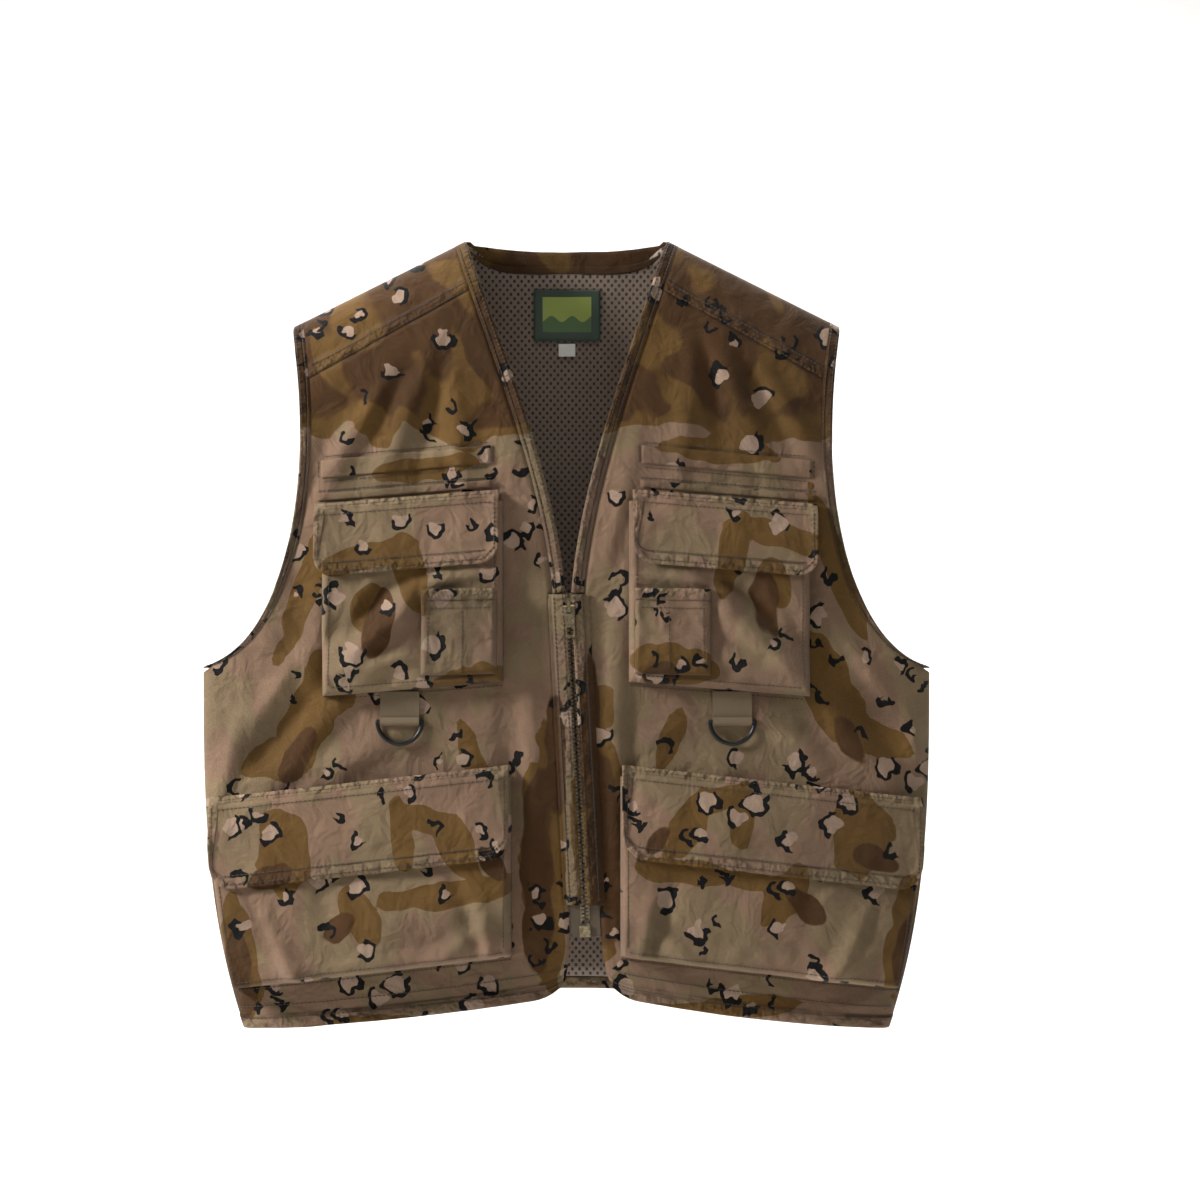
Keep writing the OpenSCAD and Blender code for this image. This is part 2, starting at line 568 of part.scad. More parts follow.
// ---- Nodes ----
for (side = [1, -1]) {
  end = side > 0 ? "_left" : "_right";
  front_panel(side);
  front_yoke(side);
  neck_binding(side);
  armhole_binding(side);
  placket(side);
  hem_front(side);
  mesh_lining(side);
  zip_tape(side);
  zip_teeth(side);
  welt(side);
  inner_bag(side);
  pocket_piping(side);
  chest_pocket(side);
  chest_flap(side);
  chest_hook_patch(side);
  chest_loop_patch(side);
  pen_pocket(side);
  ring_tab(side);
  d_ring(side);
  lower_pocket(side);
  lower_flap(side);
  lower_hook_patch(side);
  lower_loop_patch(side);
}
back_panel();
back_yoke();
back_neck_facing();
hem_back();
mesh_lining_back();
zip_top_stops();
zip_retainer_box();
zip_insert_pin();
zip_slider();
zip_pull_tab();
neck_label();
size_tab();
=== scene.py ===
"""Looks of a multi-pocket utility vest that hangs empty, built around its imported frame.

Lengths inside the classes are millimetres; a mesh is scaled to metres when it is made.
"""

from __future__ import annotations

import logging
import math
from dataclasses import dataclass
from enum import Enum
from functools import partial
from typing import Callable, Sequence

import bpy
import numpy as np
from mathutils import Matrix, Vector

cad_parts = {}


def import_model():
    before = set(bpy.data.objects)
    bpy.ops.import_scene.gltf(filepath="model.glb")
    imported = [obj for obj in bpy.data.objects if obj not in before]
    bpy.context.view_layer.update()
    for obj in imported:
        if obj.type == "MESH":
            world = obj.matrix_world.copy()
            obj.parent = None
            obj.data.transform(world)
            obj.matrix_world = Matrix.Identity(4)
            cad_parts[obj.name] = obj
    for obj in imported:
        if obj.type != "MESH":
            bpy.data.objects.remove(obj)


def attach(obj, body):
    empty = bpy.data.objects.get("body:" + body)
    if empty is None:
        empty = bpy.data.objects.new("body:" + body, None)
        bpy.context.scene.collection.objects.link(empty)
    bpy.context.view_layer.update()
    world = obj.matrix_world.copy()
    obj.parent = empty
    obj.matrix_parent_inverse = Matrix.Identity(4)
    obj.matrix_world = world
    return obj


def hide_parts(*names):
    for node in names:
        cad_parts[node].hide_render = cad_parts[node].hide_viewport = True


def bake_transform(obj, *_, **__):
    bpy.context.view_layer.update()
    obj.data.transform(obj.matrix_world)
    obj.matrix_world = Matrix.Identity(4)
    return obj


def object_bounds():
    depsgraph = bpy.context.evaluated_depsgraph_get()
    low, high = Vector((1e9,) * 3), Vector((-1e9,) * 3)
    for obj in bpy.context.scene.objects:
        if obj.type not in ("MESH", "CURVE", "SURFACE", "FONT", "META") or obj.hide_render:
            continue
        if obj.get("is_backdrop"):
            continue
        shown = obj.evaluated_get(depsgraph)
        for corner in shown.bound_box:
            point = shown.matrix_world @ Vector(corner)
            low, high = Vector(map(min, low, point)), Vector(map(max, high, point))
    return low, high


LOG = logging.getLogger("vest")
MM = 0.001
ROOT = "vest"
Array = np.ndarray
Place = Callable[[Array, Array], Array]

LINING_DEEP = 3.7  # outer face of the lining below the shell's outer face
BINDING_DEEP = 4.9  # inner face of a binding below the shell's outer face
THIN_END = 0.55  # radius of a stitch at its ends, as a share of its middle
MIN_SHEET, MIN_SHARE = 10.2, 0.31  # least flat side and least share of its rectangle of a sheet


class Side(Enum):
    """The wearer's left and right, with the sign of X on each."""

    LEFT = 1
    RIGHT = -1

    @property
    def word(self) -> str:
        """The name used at the end of a node's name."""
        return self.name.lower()


def unit(value: Array | float) -> Array:
    """Limits a value to the range from 0 to 1."""
    return np.clip(value, 0.0, 1.0)


def mix(a: Array | float, b: Array | float, t: Array | float) -> Array:
    """Goes from a to b as t goes from 0 to 1."""
    return a + (b - a) * t


def ease(value: Array | float) -> Array:
    """Goes smoothly from 0 to 1."""
    t = unit(value)
    return t * t * (3 - 2 * t)


def ripple(x: Array, z: Array, size: float, seed: float) -> Array:
    """Smooth uneven waves between about -1 and 1.

    Args:
        x: First coordinate.
        z: Second coordinate.
        size: Typical distance between two waves.
        seed: Any number; another number gives other waves.

    Returns:
        The height of the waves at each place.
    """
    a, b = x / size * 6.28, z / size * 6.28
    warp = np.sin(0.63 * a + 0.47 * b + seed) + np.sin(0.41 * b - 0.71 * a + 2.1 * seed)
    one = np.sin(a + 0.9 * warp + 1.7 * seed)
    two = np.sin(0.83 * b - 0.36 * a + 1.1 * warp + 0.6 * seed)
    three = np.sin(1.71 * a + 1.37 * b + 1.3 * warp + 3.9 * seed)
    return (one + two + 0.6 * three) / 2.6


@dataclass(frozen=True)
class Fold:
    """One soft fold in the cloth: a long low ridge, or a valley if high is negative."""

    x: float
    z: float
    angle: float
    long: float
    wide: float
    high: float

    def at(self, x: Array, z: Array) -> Array:
        """Its height at each place.

        Args:
            x: X of each place, in millimetres.
            z: Z of each place, in millimetres.

        Returns:
            Heights in millimetres.
        """
        c, s = math.cos(math.radians(self.angle)), math.sin(math.radians(self.angle))
        along = (x - self.x) * c + (z - self.z) * s
        across = -(x - self.x) * s + (z - self.z) * c
        return self.high * np.exp(-((along / self.long) ** 2) - (across / self.wide) ** 2)


@dataclass
class HungBody:
    """The vest's own shape as it hangs: the same driving sizes and curves as its frame."""

    half_chest: float = 258
    hem_half: float = 229
    neck_half: float = 71
    shoulder_half: float = 195
    shoulder_drop: float = 62
    armhole_half: float = 190
    underarm_drop: float = 303
    side_length: float = 558
    back_length: float = 536
    front_length: float = 511
    v_depth: float = 250
    neck_dip: float = 5
    hem_bow: float = 21
    lean: float = 3
    front_depth: float = 30
    back_depth: float = 28
    shoulder_round: float = 70
    slit: float = 2
    bind_w: float = 9
    hem_h: float = 9
    corner_rows: float = 0.08
    corner_in: float = 9
    power: float = 4
    t_yoke: float = 0.075
    t_back_yoke: float = 0.16
    front_folds: Sequence[Fold] = (
        Fold(224, -320, -54, 48, 7, 8.0), Fold(236, -336, -58, 38, 6, -5.0),
        Fold(206, -330, -50, 56, 8, -5.5), Fold(196, -352, -48, 54, 9, 5.5),
        Fold(178, -340, -42, 44, 9, -4.5), Fold(160, -356, -34, 40, 8, 4.0),
        Fold(244, -352, -76, 34, 6, 4.5), Fold(205, -206, -78, 64, 8, 3.2),
        Fold(192, -176, -72, 50, 7, -3.0), Fold(182, -250, -84, 60, 8, 3.0),
        Fold(30, -330, 82, 90, 8, 4.2), Fold(22, -300, 88, 60, 5, -2.6),
        Fold(46, -372, 86, 60, 7, -4.2), Fold(34, -400, 88, 70, 5, 3.6),
        Fold(30, -450, 84, 60, 5, 3.6), Fold(120, -112, -68, 46, 8, 5.0),
        Fold(102, -106, -78, 48, 7, -4.2), Fold(152, -118, -58, 44, 8, 4.8),
        Fold(84, -126, 84, 46, 8, 4.4), Fold(137, -108, -62, 38, 6, -3.6),
        Fold(176, -356, -10, 60, 7, 3.0), Fold(66, -350, 30, 34, 7, 2.4),
        Fold(120, -352, 10, 44, 8, -2.2), Fold(32, -214, 74, 60, 7, 3.6),
        Fold(44, -196, 76, 50, 6, -2.4), Fold(150, -546, 4, 60, 5, 2.2),
        Fold(88, -540, -10, 40, 5, 2.0), Fold(200, -540, 20, 30, 5, 2.0))
    back_folds: Sequence[Fold] = (
        Fold(-150, -330, 62, 90, 16, 2.6), Fold(170, -360, -66, 100, 18, 2.4),
        Fold(-60, -420, 84, 110, 20, 2.0), Fold(40, -300, -80, 120, 22, -1.8),
        Fold(90, -480, 88, 90, 14, 1.8), Fold(0, -130, 4, 120, 26, 1.4),
        Fold(-200, -250, 74, 60, 12, 1.6), Fold(205, -240, -74, 60, 12, 1.6))

    def body_half(self, z: Array) -> Array:
        """Half width of the body at a height."""
        low = unit((-z - self.underarm_drop) / (self.side_length - self.underarm_drop))
        return mix(self.half_chest, self.hem_half, low**3)

    def depth_at(self, x: Array, z: Array, wide: Array | float = 0.0) -> Array:
        """Share of the full depth at a place: 1 in the middle, 0 at the side and shoulder.

        Args:
            x: X of each place, in millimetres.
            z: Z of each place, in millimetres.
            wide: Extra half width.

        Returns:
            Shares from 0 to 1.
        """
        out = unit(np.abs(x) / (self.body_half(z) + wide))
        side = np.maximum(1 - out**self.power, 0) ** (1 / self.power)
        ridge = -np.maximum(0, np.abs(x) - self.neck_half) * self.ridge_fall
        top = unit((ridge - z) / self.shoulder_round)
        return side * np.sqrt(1 - (1 - top) ** 2)

    @property
    def ridge_fall(self) -> float:
        """Fall of the shoulder ridge per millimetre outwards."""
        return self.shoulder_drop / (self.shoulder_half - self.neck_half)

    def zip_line(self, z: Array | float) -> Array:
        """X of the line where the two fronts meet."""
        return 1.5 + np.maximum(0, -self.v_depth - z) * math.tan(math.radians(self.lean))

    def front_wrinkle(self, x: Array, z: Array) -> Array:
        """Height of the folds over the front; the zip's strip stays flat.

        Args:
            x: X of each place, in millimetres.
            z: Z of each place, in millimetres.

        Returns:
            Heights in millimetres.
        """
        a = np.abs(x)
        shift = np.where(x < 0, 14.0, 0.0)
        total = sum(f.at(a + shift * 0.6, z + shift) for f in self.front_folds)
        total = total + 0.75 * ripple(x, z, 58, 1.3) + 0.3 * ripple(x, z, 23, 4.2)
        keep = ease((np.abs(x - self.zip_line(z)) - 13) / 22)
        edge = ease((self.body_half(z) - a) / 14) * ease(self.depth_at(x, z) * 2.2)
        return total * keep * edge

    def back_wrinkle(self, x: Array, z: Array) -> Array:
        """Height of the folds over the back.

        Args:
            x: X of each place, in millimetres.
            z: Z of each place, in millimetres.

        Returns:
            Heights in millimetres.
        """
        total = sum(f.at(x, z) for f in self.back_folds)
        total = total + 0.9 * ripple(x, z, 80, 7.7) + 0.3 * ripple(x, z, 25, 2.2)
        edge = ease((self.body_half(z) - np.abs(x)) / 14) * ease(self.depth_at(x, z) * 2.2)
        return total * edge

    def skin(self, x: Array, z: Array, d: Array | float, back: bool = False) -> Array:
        """Points on or off the body's surface.

        Args:
            x: X of each point, signed.
            z: Z of each point.
            d: Distance outwards from the surface.
            back: The back instead of the front.

        Returns:
            One row of X, Y, Z for each point.
        """
        deep = self.back_depth if back else self.front_depth
        e = 0.4
        sx = np.where(x < 0, -1.0, 1.0)
        here = self.depth_at(x, z)
        dx = (here - self.depth_at(x - sx * e, z)) * deep / (sx * e)
        dz = (here - self.depth_at(x, z - e)) * deep / e
        n = np.stack([-dx, -np.ones_like(here), -dz], -1)
        n /= np.linalg.norm(n, axis=-1, keepdims=True)
        lift = d + (self.back_wrinkle(x, z) if back else self.front_wrinkle(x, z))
        p = np.stack([x + 0 * here, -deep * here, z + 0 * here], -1) + n * np.expand_dims(lift, -1)
        if back:
            p[..., 1] *= -1
        return p

    def face(self, x: Array, z: Array, d: Array | float, wide: Array | float = 0.0) -> Array:
        """Points straight out in front of the body."""
        y = -self.front_depth * self.depth_at(x, z, wide) - d - self.front_wrinkle(x, z)
        return np.stack([x + 0 * y, y, z + 0 * y], -1)

    @staticmethod
    def _bezier(points: Sequence[tuple[Array, Array]], t: Array) -> Array:
        """A cubic curve through two ends."""
        w = ((1 - t) ** 3, 3 * t * (1 - t) ** 2, 3 * t**2 * (1 - t), t**3)
        return np.stack([sum(k * p[i] for k, p in zip(w, points)) for i in (0, 1)], -1)

    def front_edge(self, t: Array, side: int) -> Array:
        """The neck and front edge, as [x, z] for one half.

        Args:
            t: Share of the length.
            side: 1 on the wearer's left, -1 on the right.

        Returns:
            X and Z for each t.
        """
        low = unit((t - 0.5) / 0.5)
        z = -mix(self.v_depth, self.front_length, low)
        turn = unit((t - 1 + self.corner_rows) / self.corner_rows)
        edge = side * self.zip_line(z) + self.slit
        at_v = side * 1.5 + self.slit
        neck = self._bezier(
            ((self.neck_half, 0), (self.neck_half - 22, -0.28 * self.v_depth),
             (at_v + 7, -0.66 * self.v_depth), (at_v, -self.v_depth)), unit(t / 0.5))
        front = np.stack([edge + self.corner_in * (1 - np.sqrt(1 - turn**2)), z], -1)
        return np.where(np.expand_dims(t < 0.5, -1), neck, front)

    def outer_edge(self, t: Array) -> Array:
        """The armhole and side edge, as [x, z] for one half.

        Args:
            t: Share of the length.

        Returns:
            X and Z for each t.
        """
        low = unit((t - 0.5) / 0.5)
        z = -mix(self.underarm_drop, self.side_length, low)
        reach = self.underarm_drop - self.shoulder_drop
        arm = self._bezier(
            ((self.shoulder_half, -self.shoulder_drop),
             (self.armhole_half - 14, -self.shoulder_drop - 0.366 * reach),
             (self.armhole_half, 18 - self.underarm_drop),
             (self.half_chest, -self.underarm_drop)), unit(t / 0.5))
        return np.where(np.expand_dims(t < 0.5, -1), arm, np.stack([self.body_half(z), z], -1))

    def hem_bulge(self, s: Array, t: Array) -> Array:
        """How far the front hem bows down, with its round corner.

        Args:
            s: Share of the width.
            t: Share of the length.

        Returns:
            Heights in millimetres, negative downwards.
        """
        low = unit((t - 0.5) / 0.5)
        turn = unit(s / 0.12)
        bow = np.maximum(1 - np.maximum(s, 0) ** 1.6, 0)
        return -self.hem_bow * bow * np.sqrt(1 - (1 - turn) ** 2) * low**3

    def front_xz(self, s: Array, t: Array, side: int) -> Array:
        """A place on one front half: s from the front edge outwards, t from shoulder to hem.

        Args:
            s: Share of the width.
            t: Share of the length.
            side: 1 on the wearer's left, -1 on the right.

        Returns:
            X and Z for each place.
        """
        p = mix(self.front_edge(t, side), self.outer_edge(t), np.expand_dims(s, -1))
        p[..., 1] += self.hem_bulge(s, t)
        return p

    def front_span(self, t: Array, side: int) -> Array:
        """Distance from the front edge to the outer edge."""
        return np.linalg.norm(self.outer_edge(t) - self.front_edge(t, side), axis=-1)

    def neck_s(self, t: Array, side: int) -> Array:
        """Share of the width taken by the neck binding or placket."""
        return self.bind_w / self.front_span(t, side)

    def back_xz(self, s: Array, t: Array) -> Array:
        """A place on the back: s from -1 to 1 across, t from neck to hem.

        Args:
            s: Share of the width.
            t: Share of the length.

        Returns:
            X and Z for each place.
        """
        low = unit((t - 0.5) / 0.5)
        a = np.abs(s)
        outer = self.outer_edge(t)
        centre = -mix(self.neck_dip, self.back_length, t)
        wide = self.shoulder_half * a
        dip = -self.neck_dip * (1 - (wide / self.neck_half) ** 2)
        top = np.where(wide < self.neck_half, dip, -(wide - self.neck_half) * self.ridge_fall)
        lift = (top - mix(-self.neck_dip, -self.shoulder_drop, a)) * (1 - unit(t / 0.3)) ** 2
        sag = (self.side_length - self.back_length) * (a - a * a) * low**2
        return np.stack([s * outer[..., 0], mix(centre, outer[..., 1], a) + lift + sag], -1)

    @property
    def t_hem(self) -> float:
        """Row where the hem band starts."""
        return 1 - 0.5 * self.hem_h / (self.side_length - self.underarm_drop)


# ---- Materials ----


def colour(hex_value: str) -> tuple[float, float, float, float]:
    """Turns an sRGB hex colour into linear values.

    Args:
        hex_value: Such as "#786650".

    Returns:
        Red, green, blue and alpha, linear.
    """
    parts = [int(hex_value[i : i + 2], 16) / 255 for i in (1, 3, 5)]
    linear = [c / 12.92 if c <= 0.04045 else ((c + 0.055) / 1.055) ** 2.4 for c in parts]
    return (*linear, 1.0)


def add_node(
    tree: bpy.types.NodeTree, kind: str, inputs: dict | None = None, **settings: object
) -> bpy.types.Node:
    """Adds a node with its settings and links.

    Args:
        tree: The material's node tree.
        kind: The node's type, without its ShaderNode prefix.
        inputs: Value, output or node for each named or numbered input; a node stands for its first
            output.
        settings: Attributes of the node.

    Returns:
        The new node.
    """
    node = tree.nodes.new("ShaderNode" + kind)
    for name, value in settings.items():
        setattr(node, name, value)
    for name, value in (inputs or {}).items():
        if isinstance(value, bpy.types.Node):
            value = value.outputs[0]
        if isinstance(value, bpy.types.NodeSocket):
            tree.links.new(value, node.inputs[name])
        else:
            node.inputs[name].default_value = value
    return node


AddNode = Callable[..., bpy.types.Node]


@dataclass(frozen=True)
class Finish:
    """A material with one Principled shader; each kind fills in its own pattern."""

    name: str

    def make(self) -> bpy.types.Material:
        """Builds the material the first time it is asked for.

        Returns:
            The material.
        """
        known = bpy.data.materials.get(self.name)
        if known:
            return known
        mat = bpy.data.materials.new(self.name)
        mat.use_nodes = True
        mat.node_tree.nodes.clear()
        add = partial(add_node, mat.node_tree)
        shader = add("BsdfPrincipled", self.dress(add))
        add("OutputMaterial", {"Surface": shader})
        return mat

    def dress(self, add: AddNode) -> dict[str, object]:
        """Adds the pattern's nodes; returns the shader's inputs."""
        raise NotImplementedError


@dataclass(frozen=True)
class CamoTwill(Finish):
    """Printed cotton twill, washed soft: six flat desert colours over a fine diagonal weave."""

    # light scales the print's brightness; below 1 it gives a darker copy of the same twill, which is
    # painted shade
    light: float = 1.0
    khaki: str = "#74624a"
    pink_tan: str = "#775f4c"
    ochre: str = "#5b421f"
    brown: str = "#432c15"
    chip: str = "#927b69"
    ink: str = "#080706"
    weave_mm: float = 1.7  # real threads are 0.4 mm apart, drawn coarser so that they show

    def dress(self, add: AddNode) -> dict[str, object]:
        """Prints bands from the cloth's own attributes, then chips, then the weave.

        Args:
            add: Adds a node to the material's tree.

        Returns:
            The shader's inputs.
        """
        uv = add("UVMap", uv_map="cloth")
        wobble = add(
            "TexNoise", {"Vector": uv, "Scale": 26.0, "Detail": 2.5, "Roughness": 0.5},
            noise_dimensions="2D"
        )
        bend = add("Math", {0: wobble.outputs["Fac"], 1: 1.1, 2: -0.55}, operation="MULTIPLY_ADD")
        base = colour(self.khaki)
        for tone, paint, edge in (
            ("pink", self.pink_tan, 0.1), ("ochre", self.ochre, 0.03), ("brown", self.brown, 0.22)
        ):
            band = add("Attribute", attribute_name=tone).outputs["Fac"]
            height = add("Math", {0: band, 1: bend}, operation="ADD")
            inside = add(
                "MapRange", {"Value": height, "From Min": -edge * 0.6, "From Max": edge * 0.6},
                interpolation_type="SMOOTHSTEP"
            )
            base = add("Mix", {0: inside, 6: base, 7: colour(paint)}, data_type="RGBA").outputs[2]
        base = self.chips(add, uv, base)
        fade = add(
            "TexNoise", {"Vector": uv, "Scale": 11.0, "Detail": 5.0, "Roughness": 0.6},
            noise_dimensions="2D"
        ).outputs["Fac"]
        # the fade's range is scaled by light, so on the darker copies it also carries the painted shade
        worn = add(
            "MapRange",
            {
                "Value": fade, "From Min": 0.3, "From Max": 0.7, "To Min": 0.78 * self.light,
                "To Max": 1.16 * self.light
            }
        )
        slub = add(
            "TexNoise", {"Vector": uv, "Scale": 900.0, "Detail": 3.0, "Roughness": 0.7},
            noise_dimensions="2D"
        ).outputs["Fac"]
        grain = add(
            "MapRange",
            {"Value": slub, "From Min": 0.25, "From Max": 0.75, "To Min": 0.74, "To Max": 1.24}
        )
        shade = add("Math", {0: worn, 1: grain}, operation="MULTIPLY")
        twill = self.twill(add, uv)
        shade = add(
            "Math",
            {0: shade, 1: add("Math", {0: twill, 1: 0.14, 2: 0.93}, operation="MULTIPLY_ADD")},
            operation="MULTIPLY"
        )
        rim = add("Attribute", attribute_name="edge").outputs["Fac"]
        rubbed = add(
            "MapRange",
            {"Value": rim, "From Min": 0.0, "From Max": 2.2, "To Min": 1.32, "To Max": 1.0}
        )
        shade = add("Math", {0: shade, 1: rubbed}, operation="MULTIPLY")
        tint = add("CombineColor", {0: shade, 1: shade, 2: shade})
        cloth = add(
            "Mix", {0: 1.0, 6: base, 7: tint}, data_type="RGBA", blend_type="MULTIPLY"
        ).outputs[2]
        rough = add("Math", {0: slub, 1: 0.16, 2: 0.78}, operation="MULTIPLY_ADD")
        edge = add("Attribute", attribute_name="edge").outputs["Fac"]
        fine = add("Bump", {"Height": twill, "Distance": 0.00022, "Strength": 1.0})
        soft = add("Bump", {"Height": slub, "Distance": 0.0003, "Strength": 1.0, "Normal": fine})
        pucker = add(
            "TexNoise", {"Vector": uv, "Scale": 150.0, "Detail": 2.0, "Roughness": 0.5},
            noise_dimensions="2D"
        ).outputs["Fac"]
        near_seam = add(
            "MapRange",
            {"Value": edge, "From Min": 2.0, "From Max": 12.0, "To Min": 1.0, "To Max": 0.0},
            interpolation_type="SMOOTHSTEP"
        )
        drawn = add(
            "Bump",
            {
                "Height": add("Math", {0: pucker, 1: near_seam}, operation="MULTIPLY"),
                "Distance": 0.006, "Strength": 1.0, "Normal": soft
            }
        )
        fold = add(
            "MapRange",
            {"Value": edge, "From Min": 7.6, "From Max": 8.8, "To Min": 1.0, "To Max": 0.0},
            interpolation_type="SMOOTHSTEP"
        )
        creases = add(
            "TexNoise",
            {"Vector": uv, "Scale": 42.0, "Detail": 4.0, "Roughness": 0.6, "Distortion": 0.25},
            noise_dimensions="2D"
        ).outputs["Fac"]
        creased = add(
            "Bump", {"Height": creases, "Distance": 0.0044, "Strength": 1.0, "Normal": drawn}
        )
        return {
            "Base Color": cloth,
            "Roughness": rough,
            "Specular IOR Level": 0.12,
            "Sheen Weight": 0.06,
            "Sheen Roughness": 0.55,
            "Normal": add(
                "Bump", {"Height": fold, "Distance": 0.0006, "Strength": 1.0, "Normal": creased}
            ),
        }

    def twill(self, add: AddNode, uv: object) -> bpy.types.Node:
        """The diagonal ribs of the weave, 0 to 1.

        Args:
            add: Adds a node to the material's tree.
            uv: The cloth's own coordinates.

        Returns:
            The output with the ribs.
        """
        ribs = add(
            "TexWave",
            {
                "Vector": uv, "Scale": 2 * math.pi / (10 * self.weave_mm * MM), "Distortion": 0.6,
                "Detail": 1.0, "Detail Scale": 2.0
            },
            bands_direction="DIAGONAL"
        )
        return ribs.outputs["Fac"]

    def chips(self, add: AddNode, uv: object, base: object) -> object:
        """Pale pebbles in loose groups, each with a dark crescent on one side.

        Args:
            add: Adds a node to the material's tree.
            uv: The cloth's own coordinates.
            base: The colour under the pebbles.

        Returns:
            The colour with pebbles and crescents.
        """
        stroke = 0.0031
        for pitch, small, start in ((0.024, 0.0052, 0.0), (0.034, 0.0068, 3.7)):
            warp = add(
                "TexNoise", {"Vector": uv, "Scale": 105.0, "Detail": 1.5}, noise_dimensions="2D"
            )
            moved = add(
                "VectorMath", {0: warp.outputs["Color"], 1: (0.5, 0.5, 0.5)}, operation="SUBTRACT"
            )
            scaled = add("VectorMath", {0: moved.outputs[0], "Scale": 0.01}, operation="SCALE")
            here = add("VectorMath", {0: uv, 1: scaled.outputs[0]}, operation="ADD")
            placed = add(
                "VectorMath", {0: here.outputs[0], 1: (start, start * 0.7, 0.0)}, operation="ADD"
            )
            cells = add(
                "TexVoronoi",
                {"Vector": placed.outputs[0], "Scale": 1 / pitch, "Randomness": 0.9},
                voronoi_dimensions="2D"
            )
            spot = cells.outputs["Position"]
            group = add(
                "TexNoise", {"Vector": spot, "Scale": 11.0, "Detail": 1.0}, noise_dimensions="2D"
            ).outputs["Fac"]
            chance = add("SeparateColor", {0: cells.outputs["Color"]})
            wanted = add(
                "Math",
                {
                    0: add(
                        "Math", {0: chance.outputs[1], 1: 0.16, 2: group},
                        operation="MULTIPLY_ADD"
                    ),
                    1: 0.6
                },
                operation="GREATER_THAN"
            )
            away = add("VectorMath", {0: placed.outputs[0], 1: spot}, operation="SUBTRACT")
            angle = add("Math", {0: chance.outputs[0], 1: 4.4, 2: -3.4}, operation="MULTIPLY_ADD")
            turn = add(
                "CombineXYZ",
                {
                    0: add("Math", {0: angle}, operation="COSINE"),
                    1: add("Math", {0: angle}, operation="SINE"), 2: 0.0
                }
            )
            size = add(
                "Math", {0: chance.outputs[2], 1: small * 0.6, 2: small * 0.86},
                operation="MULTIPLY_ADD"
            )
            near = add("VectorMath", {0: away}, operation="LENGTH").outputs["Value"]
            along = add(
                "VectorMath", {0: away, 1: turn.outputs[0]}, operation="DOT_PRODUCT"
            ).outputs["Value"]
            facing = add("Math", {0: along, 1: near}, operation="DIVIDE")
            opening = add(
                "Math", {0: chance.outputs[1], 1: 0.9, 2: -0.72}, operation="MULTIPLY_ADD"
            )
            inner = add("Math", {0: size, 1: stroke}, operation="SUBTRACT")
            arc = add(
                "Math",
                {
                    0: add("Math", {0: near, 1: size}, operation="LESS_THAN"),
                    1: add("Math", {0: near, 1: inner}, operation="GREATER_THAN")
                },
                operation="MULTIPLY"
            )
            arc = add(
                "Math",
                {0: arc, 1: add("Math", {0: facing, 1: opening}, operation="GREATER_THAN")},
                operation="MULTIPLY"
            )
            pebble = add(
                "Math",
                {0: near, 1: add("Math", {0: size, 1: stroke * 1.05}, operation="SUBTRACT")},
                operation="LESS_THAN"
            )
            pale = add(
                "Math",
                {
                    0: add("Math", {0: chance.outputs[2], 1: 0.42}, operation="GREATER_THAN"),
                    1: wanted
                },
                operation="MULTIPLY"
            )
            base = add(
                "Mix",
                {
                    0: add("Math", {0: pebble, 1: pale}, operation="MULTIPLY"), 6: base,
                    7: colour(self.chip)
                },
                data_type="RGBA"
            ).outputs[2]
            base = add(
                "Mix",
                {
                    0: add("Math", {0: arc, 1: wanted}, operation="MULTIPLY"), 6: base,
                    7: colour(self.ink)
                },
                data_type="RGBA"
            ).outputs[2]
        return base


@dataclass(frozen=True)
class MeshLining(Finish):
    """Warp-knitted polyester mesh: thin tan yarn round rows of open diamonds."""

    yarn: str = "#6f5d4d"
    # painted shade: the colour of the open holes, where only the shade behind the mesh shows
    hole: str = "#2b211a"
    pitch_mm: float = 5.2  # the real holes are 2.6 mm apart, staggered

    def dress(self, add: AddNode) -> dict[str, object]:
        """Draws the diamonds as holes painted dark with the shade seen through them, between shiny yarns.

        Args:
            add: Adds a node to the material's tree.

        Returns:
            The shader's inputs.
        """
        uv = add("UVMap", uv_map="cloth")
        parts = add("SeparateXYZ", {0: uv})
        turn = 2 * math.pi / (self.pitch_mm * MM)
        a = add(
            "Math", {0: add("Math", {0: parts.outputs[0], 1: turn}, operation="MULTIPLY")},
            operation="SINE"
        )
        b = add(
            "Math", {0: add("Math", {0: parts.outputs[1], 1: turn * 0.85}, operation="MULTIPLY")},
            operation="SINE"
        )
        weave = add("Math", {0: a, 1: b}, operation="MULTIPLY")
        hollow = add(
            "MapRange", {"Value": weave, "From Min": 0.22, "From Max": 0.45},
            interpolation_type="SMOOTHSTEP"
        )
        fade = add(
            "TexNoise", {"Vector": uv, "Scale": 14.0, "Detail": 4.0}, noise_dimensions="2D"
        ).outputs["Fac"]
        tone = add("MapRange", {"Value": fade, "To Min": 0.8, "To Max": 1.2})
        tint = add("CombineColor", {0: tone, 1: tone, 2: tone})
        yarn = add(
            "Mix", {0: 1.0, 6: colour(self.yarn), 7: tint}, data_type="RGBA",
            blend_type="MULTIPLY"
        ).outputs[2]
        # the holes take the painted shade colour; the yarns keep their own colour
        paint = add(
            "Mix", {0: hollow, 6: yarn, 7: colour(self.hole)}, data_type="RGBA"
        ).outputs[2]
        low = add("Math", {0: 1.0, 1: hollow}, operation="SUBTRACT")
        rough = add("Math", {0: hollow, 1: 0.35, 2: 0.5}, operation="MULTIPLY_ADD")
        return {
            "Base Color": paint,
            "Roughness": rough,
            "Sheen Weight": 0.25,
            "Normal": add("Bump", {"Height": low, "Distance": 0.0006, "Strength": 1.0}),
        }


